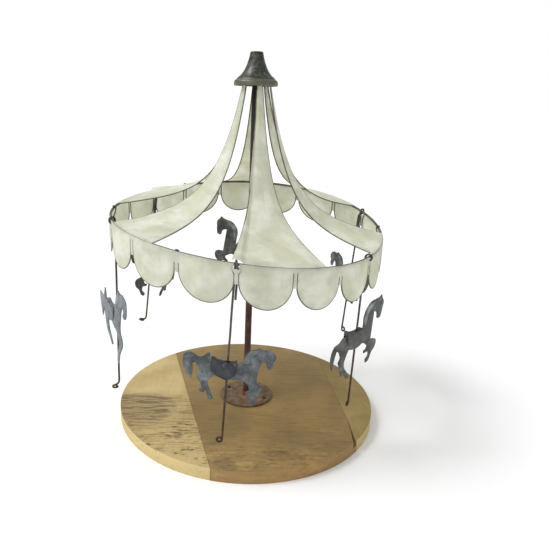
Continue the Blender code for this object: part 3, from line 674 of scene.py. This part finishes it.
hoop = {
    "x": -0.002,
    "y": -0.003,
    "height": 0.2357,
    "radius": 0.1473,
    "wire": 0.0013,
    "fallRight": 0.079,
    "riseBack": 0.0975,
    "oval": 0.045,
    "ovalAngle": math.radians(58),
    "wave": 0.0042,
    "waveAngle": math.radians(62),
    "steps": 288,
    "wobble": 0.00008,
}
panels = {
    "count": 18,
    "first": math.radians(266),
    "wire": 0.0006,
    "straight": 0.0145,
    "wireRadius": 0.0237,
    "web": 0.0175,
    "wireOut": 0.0007,
    "hookSpace": 0.15,
    "bypass": 0.0020,
    "bypassDepth": 0.0048,
    "notchHalf": 0.0022,
    "notchDepth": 0.0042,
    "clothOut": 0.00115,
    "hem": 0.00165,
    "hemTurn": math.radians(35),
    "cloth": 0.00035,
    "pillow": 0.0011,
    "pillowStart": 0.006,
    "crease": 0.0005,
    "tuck": 0.004,
    "rows": 18,
    "hemRows": 3,
}
pitch = 2 * math.pi / panels["count"]

# rods: panel junction, length, lean along and out from the hoop in degrees, and how the lower eye lies
rods = {
    "front": (0, 0.175, -3.0, 0.0, "upright"),
    "right_front": (3, 0.156, -3.2, 0.0, "upright"),
    "right_back": (6, 0.152, 1.7, -3.4, "upright"),
    "back": (9, 0.165, 2.0, 0.0, "upright"),
    "left_back": (12, 0.165, 7.0, 2.0, "flat"),
    "left_front": (15, 0.181, -0.5, 1.0, "flat"),
}
hooked = {place for place, *_ in rods.values()}


def hoopPoint(angle):
    radius = hoop["radius"] * (1 + hoop["oval"] * math.cos(2 * (angle - hoop["ovalAngle"])))
    across, along = radius * math.cos(angle), radius * math.sin(angle)
    wave = hoop["wave"] * math.cos(2 * (angle - hoop["waveAngle"]))
    z = hoop["height"] - hoop["fallRight"] * across + hoop["riseBack"] * along + wave
    return Vector((hoop["x"] + across, hoop["y"] + along, z))


def besideHoop(angle, outward, upward):
    return hoopPoint(angle) + Vector((math.cos(angle) * outward, math.sin(angle) * outward, upward))


def junctionAngle(place):
    return panels["first"] + place * pitch


def panelSide(junction, freeHook):
    # one side of a U, from the hoop down: distance from the panel's middle, outward, height
    out, radius = panels["wireOut"], panels["wireRadius"]
    under = -(hoop["wire"] + fitGap)
    half = pitch * hoop["radius"] / 2
    straightEnd = (radius, out, -panels["straight"])
    if junction % panels["count"] in hooked:
        aside = radius - panels["bypass"]
        depth = panels["bypassDepth"]
        return [(aside, out, under), (aside, out, -depth), (radius, out, -depth * 1.8), straightEnd]
    if not freeHook:
        return [(radius, out, under), straightEnd]
    # the end comes up inside the hoop and is bent over it
    reach = hoop["wire"] + panels["wire"] + 0.0001
    beside = half - panels["wire"] - 0.0001
    bend = [
        (beside, -reach * math.cos(turn), reach * math.sin(turn))
        for turn in [math.radians(d) for d in range(130, -1, -13)]
    ]
    leg = [(beside, -reach, -0.002), (radius + 0.0002, -reach * 0.3, -0.0065), (radius, out, -0.0095)]
    return bend + leg + [straightEnd]


def makeHoopAndPanels():
    iron = annealedWire()
    points = []
    for i in range(hoop["steps"]):
        angle = panels["first"] + 2 * math.pi * i / hoop["steps"]
        wobble = noise.noise(Vector((math.cos(angle), math.sin(angle), 0)) * 9) * hoop["wobble"]
        points.append(besideHoop(angle, wobble, 0))
    ring = bendWire(points, hoop["wire"], closed=True, around=5)
    finishPiece(ring, "hoop_iron", iron, "canopy", "frame_wire", "hoop")
    covered = [(first, last) for first, last, *_ in gores.values()]
    for number in range(panels["count"]):
        middle = junctionAngle(number + 0.5)
        sides = []
        for junction in (number, number + 1):
            place = junction % panels["count"]
            # a wire's end shows as a hook only where no gore lies over it
            space = panels["hookSpace"]
            under = any(first - space < place < last + space for first, last in covered)
            sides.append(panelSide(junction, not under and place not in hooked))
        outline = [(-s, out, z) for s, out, z in sides[0]]
        steps = 32
        for i in range(1, steps):
            turn = math.pi * i / steps
            s, z = -panels["wireRadius"] * math.cos(turn), -panels["wireRadius"] * math.sin(turn)
            outline.append((s, panels["wireOut"], z - panels["straight"]))
        outline += sides[1][::-1]
        points = [besideHoop(middle + s / hoop["radius"], out, z) for s, out, z in outline]
        bent = bendWire(points, panels["wire"])
        order = f"{number + 1:02d}"
        finishPiece(bent, f"panel_iron_{order}", iron, "canopy", "frame_wire", f"panel_wire_{order}")
    print("hoop and panel wires done")


def skirtColumns():
    # number of the panel, place across it, whether it is in a hook's notch, and height of its lower edge
    half = pitch * hoop["radius"] / 2
    notch = half - panels["notchHalf"]
    columns = []
    for number in range(panels["count"]):
        places = [panels["wireRadius"] * math.sin(math.radians(d)) for d in range(-90, 91, 6)]
        places.append(-half)
        if number in hooked:
            places += [-notch, -notch + 0.0003]
        if (number + 1) % panels["count"] in hooked:
            places += [notch, notch - 0.0003]
        for s in sorted(places):
            edge = number if s < 0 else (number + 1) % panels["count"]
            notched = edge in hooked and half - abs(s) < panels["notchHalf"] + 0.0001
            drop = math.sqrt(max(panels["wireRadius"] ** 2 - s**2, 0))
            bottom = -max(panels["web"], panels["straight"] + drop)
            columns.append((number, s, notched, bottom))
    return columns


def makeSkirt(muslin):
    columns = skirtColumns()
    rows, hemRows = panels["rows"], panels["hemRows"]
    bpy.ops.mesh.primitive_grid_add(x_subdivisions=len(columns), y_subdivisions=rows, size=1)
    piece = bpy.context.object
    aroundHoop = 2 * math.pi * hoop["radius"]
    radius, hem = panels["wireRadius"], panels["hem"]
    places = {}
    for vertex in piece.data.vertices:
        column = round((vertex.co.x + 0.5) * len(columns)) % len(columns)
        row = round((0.5 - vertex.co.y) * rows)
        number, s, notched, bottom = columns[column]
        top = -panels["notchDepth"] if notched else 0
        angle = junctionAngle(number + 0.5) + s / hoop["radius"]
        if row < hemRows and not notched:
            # the top rows are folded over the hoop
            turn = panels["hemTurn"] * (1 - row / hemRows)
            out, z = hem * math.cos(turn), hem * math.sin(turn)
        else:
            z = top + (bottom - top) * max(row - hemRows, 0) / (rows - hemRows)
            fromArc = (s / radius) ** 2 + (max(-z - panels["straight"], 0) / radius) ** 2
            middle = max(1 - fromArc, 0) * min(-z / panels["pillowStart"], 1)
            crease = noise.noise(Vector((angle * 9, z * 60, number))) * panels["crease"]
            tuck = max(1 + z / panels["tuck"], 0)
            out = panels["clothOut"] + (panels["pillow"] + crease) * middle
            out += (hem - panels["clothOut"]) * tuck
        vertex.co = besideHoop(angle, out, z)
        places[vertex.index] = (column / len(columns) * aroundHoop, z)
    for loop in piece.data.loops:
        piece.data.uv_layers.active.data[loop.index].uv = places[loop.vertex_index]
    startEdit(piece)
    bpy.ops.mesh.remove_doubles(threshold=0.00001)
    endEdit()
    useModifier(piece, "SOLIDIFY", thickness=panels["cloth"], offset=-1)
    finishPiece(piece, "skirt_muslin", muslin, "canopy", "stiffened_muslin", "skirt_cloth")


# gores, from the cap to the hoop

# first and last place on the hoop in panels from the front junction, then at the cap in degrees,
# then how sharply it flares and the share of its fall that is even
gores = {
    "front": (-0.10, 1.65, 274, 299, 5.5, 0.20),
    "right_front": (3.20, 4.60, 338, 362, 5.0, 0.15),
    "right_back": (6.30, 7.70, 392, 418, 5.0, 0.15),
    "back": (8.70, 10.00, 440, 464, 4.5, 0.10),
    "left_back": (11.90, 13.70, 486, 508, 6.5, 0.15),
    "left_front": (15.22, 16.52, 571, 595, 4.7, 0.07),
}
goreShape = {
    "topRadius": 0.0160,
    "topHeight": 0.3770,
    "lift": 0.0023,
    "hookLift": 0.0032,
    "out": 0.0010,
    "bendRadius": 0.0131,
    "bendHeight": 0.3790,
    "bendParts": (0.3, 0.5, 0.7),
    "hookNear": 0.05,
    "hookFar": 0.13,
    "edgeInset": 0.0009,
    "wireEnd": 0.972,
    "wireDepth": 0.0018,
    "crowding": 1.4,
    "rows": 64,
    "columns": 56,
    "cloth": 0.00035,
    "bedded": 0.00135,
    "sinkAtHoop": 0.0008,
    "clothInset": 0.0005,
    "swell": 0.0012,
    # how many across and down, and how high
    "folds": (2.6, 1.3, 0.0009),
    "puckers": (9, 6, 0.0002),
    # where the cloth starts to settle on the hoop, and over how much of its length
    "settle": (0.86, 0.11),
    "weaveLength": 0.19,
}


def gorePoint(gore, down, across):
    # down runs 0 to 1 from cap to hoop, across 0 to 1 between the edges
    first, last, capFirst, capLast, flare, even = gores[gore]
    place = first + (last - first) * across
    end = hoopPoint(junctionAngle(place))
    topAngle = math.radians(capFirst + (capLast - capFirst) * across)
    top = Vector((math.cos(topAngle), math.sin(topAngle), 0)) * goreShape["topRadius"]
    near, far = goreShape["hookNear"], goreShape["hookFar"]
    hook = min(abs(place - rod[0]) for rod in rods.values())
    rise = min(max((far - hook) / (far - near), 0), 1)
    z = end.z + goreShape["lift"] + goreShape["hookLift"] * rise
    flat = math.exp(-flare)
    fall = (1 - even) * (math.exp(-flare * down) - flat) / (1 - flat) + even * (1 - down)
    plan = Vector((end.x, end.y, 0))
    plan += plan.normalized() * goreShape["out"]
    spread = top.lerp(plan, down)
    return Vector((spread.x, spread.y, z + (goreShape["topHeight"] - z) * fall))


def goreNormal(gore, down, across):
    step = 0.01
    d = min(max(down, step), 1 - step)
    a = min(max(across, step), 1 - step)
    along = gorePoint(gore, d + step, a) - gorePoint(gore, d - step, a)
    side = gorePoint(gore, d, a + step) - gorePoint(gore, d, a - step)
    return along.cross(side).normalized()


def goreEdge(gore, down, side):
    # where the edge wire lies, under the cloth at side 0 or 1
    span = (gorePoint(gore, down, 1) - gorePoint(gore, down, 0)).length
    across = side + (1 - 2 * side) * goreShape["edgeInset"] / span
    return gorePoint(gore, down, across) - goreNormal(gore, down, across) * goreShape["wireDepth"]


def makeGore(gore, iron, muslin):
    rows, columns = goreShape["rows"], goreShape["columns"]
    bpy.ops.mesh.primitive_grid_add(x_subdivisions=columns, y_subdivisions=rows, size=1)
    piece = bpy.context.object
    flats = {}
    seed = list(gores).index(gore) * 7
    for vertex in piece.data.vertices:
        down = (0.5 - vertex.co.y) ** goreShape["crowding"]
        across = vertex.co.x + 0.5
        width = (gorePoint(gore, down, 1) - gorePoint(gore, down, 0)).length
        inset = goreShape["clothInset"] / width
        inside = inset + (1 - 2 * inset) * across
        point = gorePoint(gore, down, inside)
        normal = goreNormal(gore, down, inside)
        loose = math.sin(math.pi * across) * math.sin(math.pi * min(down * 0.94 + 0.06, 1))
        creases = 0
        for layer, kind in enumerate(("folds", "puckers")):
            timesAcross, timesDown, high = goreShape[kind]
            creases += noise.noise(Vector((across * timesAcross, down * timesDown, seed + 3 * layer))) * high
        bulge = (goreShape["swell"] + creases) * loose
        start, length = goreShape["settle"]
        atHoop = min(max((down - start) / length, 0), 1)
        sink = goreShape["bedded"] + (goreShape["sinkAtHoop"] - goreShape["bedded"]) * atHoop
        vertex.co = point + normal * (max(bulge, 0) - sink)
        flats[vertex.index] = ((across - 0.5) * width, -down * goreShape["weaveLength"])
    for loop in piece.data.loops:
        piece.data.uv_layers.active.data[loop.index].uv = flats[loop.vertex_index]
    useModifier(piece, "SOLIDIFY", thickness=goreShape["cloth"], offset=-1)
    finishPiece(piece, f"gore_muslin_{gore}", muslin, "canopy", "stiffened_muslin", f"gore_cloth_{gore}")
    width = (gorePoint(gore, 1, 1) - gorePoint(gore, 1, 0)).length
    centre = [gorePoint(gore, i / 40, 0.5) for i in range(41)]
    length = sum((b - a).length for a, b in zip(centre, centre[1:]))

    steps = 36
    downs = [(i / steps) ** goreShape["crowding"] for i in range(steps)]
    downs = [down for down in downs if down < goreShape["wireEnd"]] + [goreShape["wireEnd"]]
    left, right = ([goreEdge(gore, down, side) for down in downs] for side in (0, 1))
    bend = []
    for part in goreShape["bendParts"]:
        point = left[0].lerp(right[0], part)
        plan = Vector((point.x, point.y, 0)).normalized() * goreShape["bendRadius"]
        bend.append(Vector((plan.x, plan.y, goreShape["bendHeight"])))
    wire = bendWire(left[::-1] + bend + right, panels["wire"])
    finishPiece(wire, f"gore_iron_{gore}", iron, "canopy", "frame_wire", f"gore_wire_{gore}")


# rods, horses and saddles

rodShape = {
    "wire": 0.00105,
    "hookBend": 0.0030,
    "hookSide": 0.0012,
    "returnLeg": 0.033,
    "eyeRadius": 0.0025,
    "eyeBend": 0.0050,
    "eyeTurn": math.radians(325),
    "eyeRise": 0.0009,
    "legWave": 0.00012,
    "legParts": (0.88, 0.75, 0.62, 0.5, 0.38, 0.25, 0.12),
}
horseSheet = {
    "tin": 0.0012,
    "edge": 0.00025,
    "maneProud": 0.00035,
    "maneEdge": 0.0002,
    "dot": 0.00055,
    "dotStretch": 1.9,
}
# outline, drop below the hoop, nose-up angle and turn about the rod in degrees, place ahead of the rod, scale
horses = {
    "front": ("walking", 0.0995, 2, 0, 0.0, 1.0),
    "right_front": ("rearing", 0.0820, 5.5, -14, -0.002, 1.0),
    "right_back": ("walking", 0.0830, 0, 0, 0.006, 1.0),
    "back": ("rearing", 0.0990, 14, 0, 0.019, 1.02),
    "left_back": ("rearing", 0.0970, -5, 0, -0.009, 1.0),
    "left_front": ("prancing", 0.1003, 0, 6, 0.004, 1.0),
}
# each outline from the poll round the face, legs, rump and back, in mm ahead of and above the rod's crossing
horseOutlines = {
    "walking": (
        (23.3, 20.9), (28.6, 22.6), (30.6, 21.4), (37.6, 21.3), (41.8, 18.4), (43.6, 13.8), (41.4, 9.8),
        (41.6, 6.2), (40.1, 2.9), (37.3, 1.8), (35.8, 5.4), (34.5, 9), (31.5, 9.6), (29.7, 5), (28.1, -2.1),
        (27.2, -12.6), (31.6, -15.4), (32, -18), (29.6, -22.5), (27.6, -28.4), (25.4, -34.4), (24.6, -36),
        (20.2, -35.4), (21.6, -32), (23, -28), (18.2, -25.2), (17.6, -22), (20.8, -19.6), (18.6, -13.4),
        (14.5, -11.2), (9.6, -10.4), (0.4, -10.6), (-6, -9.4), (-11.6, -6.9), (-14.4, -9.4), (-17.4, -14),
        (-15.6, -21.4), (-14, -26.6), (-12.2, -30.2), (-13.2, -32.2), (-16.4, -31.8), (-18.4, -26),
        (-20, -22.4), (-20.8, -25.4), (-24.6, -25.2), (-25.6, -21.8), (-23.6, -19.6), (-24.8, -14.6),
        (-28.8, -9), (-25.8, -3.6), (-29.2, 5), (-32, 3.4), (-31.6, -4), (-32.6, -12), (-35.4, -9.4),
        (-39.2, -2.4), (-40.8, 6),
        (-39.6, 12.4), (-35, 14.8), (-30.4, 13.2), (-26, 10.6), (-21.8, 11.8), (-18.4, 14.8), (-15.8, 15.2),
        (-15.4, 4.8), (9.4, 4.8), (10.5, 7.4), (13.7, 7.4), (15, 11.4), (17, 16), (19.8, 19.2),
    ),
    "rearing": (
        (30.7, 33.5), (36.4, 34.4), (39.2, 36.2), (40.2, 32.9), (42.8, 28), (41.4, 21.9), (39.6, 15.8),
        (37.8, 12), (34.6, 10.8), (32.4, 12.6), (32.4, 16), (30.9, 19), (27.2, 20.6), (26.4, 14), (25.6, 7.5),
        (24.4, -2.4), (23.4, -9), (31.6, -11.2), (33.2, -13.4), (31.6, -20), (26.4, -25), (21.4, -33.4),
        (17.2, -34.6), (16.8, -31.4), (21, -26.6), (20.6, -22.2), (13.4, -22.4), (13, -19.8), (16.4, -18.6),
        (18.4, -15.4), (14.4, -12), (10.8, -10), (3.5, -11.9), (-3, -12.6), (-11.8, -10.4), (-14.8, -14.9),
        (-18.4, -23.5), (-17.6, -28.4), (-12.5, -35.9), (-10.2, -41.4), (-13.6, -42.2), (-17.6, -35.6),
        (-19.6, -31.4), (-19.2, -36.8), (-22.9, -36.6), (-24.2, -29), (-27.6, -20.3), (-24.4, -15.3),
        (-27.5, -8.1), (-30.6, -6.4), (-33.4, -13), (-36.8, -25.8), (-39, -18), (-38.6, -9.5), (-33.6, -1),
        (-26.4, 1.2), (-20.6, 5.4), (-15.4, 4.8), (9.4, 4.8), (10.4, 12.4), (12, 22.3), (16.7, 28.7),
        (22.8, 32.6),
    ),
    "prancing": (
        (13, 28.2), (16.8, 28.6), (21.5, 27.2), (26.4, 24.4), (28.6, 19), (28.4, 13.1), (25.8, 6),
        (21.4, 4.4), (17.4, 6.4), (19.8, 10.8), (18.4, 16.4), (14.6, 12.5), (11, 1), (9.4, -14.5),
        (14, -21.4), (15.2, -27.6),
        (10, -35.4), (5.4, -43), (3.6, -50.8), (1.4, -53), (-1, -51.4), (0.4, -42), (4, -33), (7, -27.6),
        (3.4, -22), (-3, -16.6), (-9, -14.6), (-21, -6.1), (-26.8, -13.4), (-25.4, -21.4), (-19.4, -30),
        (-14.6, -36.6), (-17.4, -38.8), (-21.8, -34), (-30.2, -27), (-34.6, -20.2), (-37.6, -10.2),
        (-40.6, -1.9), (-42.6, -8), (-45.5, -14.4), (-49.4, -5), (-52.4, 6), (-52, 12.3), (-47.6, 11),
        (-43.2, 9.4), (-38.6, 13.4), (-36.2, 21), (-33.4, 15.6), (-33.2, 4.8), (-7, 4.8), (-4.4, 11.3),
        (-1.4, 19.9), (3.4, 26.4), (6, 30), (9, 28.4),
    ),
}
# the mane stands proud on both sides of the sheet
horseManes = {
    "walking": (
        (13.9, 7.9), (15.6, 11.6), (17.6, 15.8), (20.3, 18.7), (23.5, 20.2), (27, 20.6), (25.6, 17.2),
        (22.6, 14.6), (20.6, 11.2), (19.4, 7.6), (16.6, 6.4),
    ),
    "rearing": (
        (10.9, 12.6), (12.6, 21.9), (17.2, 28), (23, 31.6), (29.6, 32.6), (27.2, 28.6), (21.6, 25.6),
        (17.6, 20.6), (15.6, 13.6), (13.4, 8.4),
    ),
    "prancing": (
        (-6, 6.6), (-3.8, 11.6), (-0.8, 19.6), (3.6, 25.4), (7, 27.8), (10.4, 26.2), (6.6, 21.6),
        (3.6, 15.6), (1, 8.6), (-2.6, 5),
    ),
}
# the eye and the bridle's rivets
horseDots = {
    "walking": ((33.5, 17.2), (36.8, 12.6), (39.4, 10.6), (38, 15.2), (41.5, 11.6)),
    "rearing": ((36.6, 29.6), (38.6, 24.6), (39.4, 20.4), (37.2, 17.2), (35.2, 22.6)),
    "prancing": ((21.4, 22.4), (24.6, 16.4), (25.4, 12.2), (22.6, 9), (20.6, 15.2)),
}
saddlePlaces = {"walking": 0, "rearing": 0, "prancing": -17}
saddleOutline = (
    (-14.8, 10.2), (-12.5, 9.8), (-9, 7.8), (-3, 6.7), (4, 6.7), (8.6, 7.6), (9, 3), (8.2, -3.5), (5, -8),
    (-1, -10.4), (-6, -8.6), (-12.5, -4.6), (-15, -2),
)
saddleShape = {
    "tin": 0.0008,
    "edge": 0.0003,
    "slotTop": 0.0051,
    "holeStretch": 1.8,
    "holeHeight": 0.0065,
}


def rodFrame(rod):
    place, _, leanAlong, leanOut, _ = rods[rod]
    angle = junctionAngle(place)
    turn = Matrix.Rotation(angle + math.pi / 2, 4, "Z")
    lean = Euler((math.radians(-leanOut), math.radians(-leanAlong), 0)).to_matrix().to_4x4()
    return Matrix.Translation(hoopPoint(angle)) @ turn @ lean


def rodPath(length, eye):
    # from the lower eye, up the long leg, over the hoop, under it and down the short leg
    bend, sideways, eyeRadius = rodShape["hookBend"], rodShape["hookSide"], rodShape["eyeRadius"]
    leg = Vector((-sideways, bend, 0))
    path = []
    eyePoints = 30
    if eye == "upright":
        centre = leg + Vector((-eyeRadius, 0, -length))
        for i in range(eyePoints, -1, -1):
            turn = -rodShape["eyeTurn"] * i / eyePoints
            away = Vector((0, -rodShape["eyeRise"] * i / eyePoints, 0))
            path.append(centre + Vector((math.cos(turn), 0, math.sin(turn))) * eyeRadius + away)
    else:
        eyeBend = rodShape["eyeBend"]
        centre = leg + Vector((eyeRadius, -eyeBend, -length))
        for i in range(eyePoints, -1, -1):
            turn = math.pi + rodShape["eyeTurn"] * i / eyePoints
            away = Vector((0, 0, -rodShape["eyeRise"] * i / eyePoints))
            path.append(centre + Vector((math.cos(turn), math.sin(turn), 0)) * eyeRadius + away)
        for degrees in range(15, 76, 15):
            turn = math.radians(degrees)
            y, z = eyeBend * (math.sin(turn) - 1), eyeBend * (1 - math.cos(turn))
            path.append(leg + Vector((0, y, z - length)))
        path.append(leg + Vector((0, 0, -length + eyeBend * 1.3)))
    for part in rodShape["legParts"]:
        # hand-straightened wire keeps a slight wave
        wave = rodShape["legWave"] * math.sin(part * 21)
        path.append(leg + Vector((wave, 0, -length * part)))
    path.append(leg + Vector((0, 0, -bend * 2)))
    turns = 30
    for i in range(turns + 1):
        turn = math.radians(270) * i / turns
        side = -sideways + 2 * sideways * i / turns
        path.append(Vector((side, bend * math.cos(turn), bend * math.sin(turn))))
    for degrees in (17, 35, 52, 70):
        turn = math.radians(degrees)
        path.append(Vector((sideways, bend * math.sin(turn), -bend * (2 - math.cos(turn)))))
    path.append(Vector((sideways, bend, -bend * 2.4)))
    path.append(Vector((sideways, bend, -rodShape["returnLeg"])))
    return path


def makeSaddle(holeAhead):
    # a strip folded over the horse and the rod, open below, with a hole in the fold for the rod
    outer = rodShape["hookBend"] - rodShape["wire"] - fitGap - horseSheet["tin"] - fitGap
    inner = rodShape["hookBend"] + rodShape["wire"] + fitGap
    middle = (outer + inner) / 2
    piece = cutSheet(saddleOutline, inner - outer + 2 * saddleShape["tin"], saddleShape["edge"])
    bpy.ops.mesh.primitive_cube_add(size=1, location=(0, 0, saddleShape["slotTop"] - 0.02))
    slotCut = bpy.context.object
    slotCut.scale = (0.06, inner - outer, 0.04)
    cutAway(piece, slotCut)
    bpy.ops.mesh.primitive_cylinder_add(
        vertices=32,
        radius=rodShape["wire"] + fitGap,
        depth=0.04,
        location=(holeAhead, rodShape["hookBend"] - middle, 0),
    )
    hole = bpy.context.object
    hole.scale = (saddleShape["holeStretch"], 1, 1)
    cutAway(piece, hole)
    return piece, middle


def makeHorse(outline, finish, maneHighlightAndRivets):
    horse = cutSheet(horseOutlines[outline], horseSheet["tin"], horseSheet["edge"])
    horse.data.materials.append(finish)
    thickness = horseSheet["tin"] + 2 * horseSheet["maneProud"]
    mane = cutSheet(horseManes[outline], thickness, horseSheet["maneEdge"])
    # the mane's pale tin is a painted highlight along its crest
    mane.data.materials.append(maneHighlightAndRivets)
    dots = []
    # the eye and bridle rivets share the same pale tin
    for x, z in horseDots[outline]:
        bpy.ops.mesh.primitive_uv_sphere_add(
            segments=16, ring_count=12, radius=horseSheet["dot"], location=(x * mm, 0, z * mm)
        )
        dot = bpy.context.object
        dot.scale.y = horseSheet["dotStretch"]
        dot.data.materials.append(maneHighlightAndRivets)
        dots.append(dot)
    return joinPieces(horse, mane, *dots)


def makeHanger(rod, rodSteel, finishes, saddleFinish):
    _, length, _, _, eye = rods[rod]
    outline, drop, noseUp, turn, ahead, scale = horses[rod]
    frameHere = rodFrame(rod)
    body = f"{rod}_rod"
    wire = bendWire(rodPath(length, eye), rodShape["wire"])
    wire.matrix_world = frameHere
    finishPiece(wire, f"rod_steel_{rod}", rodSteel, body, "rod_wire", f"rod_{rod}")

    crossing = Matrix.Translation((-rodShape["hookSide"], rodShape["hookBend"], -drop))
    attitude = Matrix.Rotation(math.radians(turn), 4, "Z") @ Matrix.Rotation(math.radians(-noseUp), 4, "Y")
    grown = Matrix.Diagonal((scale, 1, scale, 1))
    sheetOut = -(rodShape["wire"] + fitGap + horseSheet["tin"] / 2)
    horse = makeHorse(outline, finishes[rod], finishes["mane"])
    horse.matrix_world = frameHere @ crossing @ attitude @ Matrix.Translation((ahead, sheetOut, 0)) @ grown
    finishPiece(horse, f"horse_tin_{rod}", None, body, "horse_tin", f"horse_{rod}")

    saddleAhead = ahead + saddlePlaces[outline] * mm
    lean = saddleShape["holeHeight"] * math.tan(math.radians(noseUp))
    saddle, middle = makeSaddle((lean - saddleAhead) / scale)
    saddlePlace = Matrix.Translation((saddleAhead, middle - rodShape["hookBend"], 0)) @ grown
    saddle.matrix_world = frameHere @ crossing @ attitude @ saddlePlace
    finishPiece(saddle, f"saddle_tin_{rod}", saddleFinish, body, "saddle_tin", f"saddle_{rod}")
    print("hanger", rod, "done")


setCamera()
setStudio()
makeBoard()
makeFoot()
makePost()
makeCap()
makeHoopAndPanels()
muslin = stiffMuslin()
makeSkirt(muslin)
goreIron = annealedWire()
for goreName in gores:
    makeGore(goreName, goreIron, muslin)
greyTin = agedTin("greyAgedTin", "#353632", "#4f514d", "#70746f")
blueTin = agedTin("blueGreyAgedTin", "#3c3e3d", "#565a5b", "#7d858a")
paleTin = agedTin("paleAgedTin", "#55585b", "#70757a", "#8d949b")
horseFinishes = {rod: greyTin for rod in rods}
horseFinishes["front"] = blueTin
horseFinishes["left_front"] = paleTin
# the mane's pale tin is a painted highlight along the crest, shared with the eye and the bridle rivets
horseFinishes["mane"] = agedTin("maneHighlightAndRivetTin", "#515453", "#6f7576", "#a3abb0")
rodSteel = rodWire()
charcoal = agedTin("charcoalTin", "#26272c", "#34353b", "#47484e")
saddleFinishes = {rod: charcoal for rod in rods}
saddleFinishes["right_front"] = agedTin("darkGreyTin", "#353632", "#4a4b47", "#636561")
saddleFinishes["left_front"] = paleTin
for rodName in rods:
    makeHanger(rodName, rodSteel, horseFinishes, saddleFinishes[rodName])
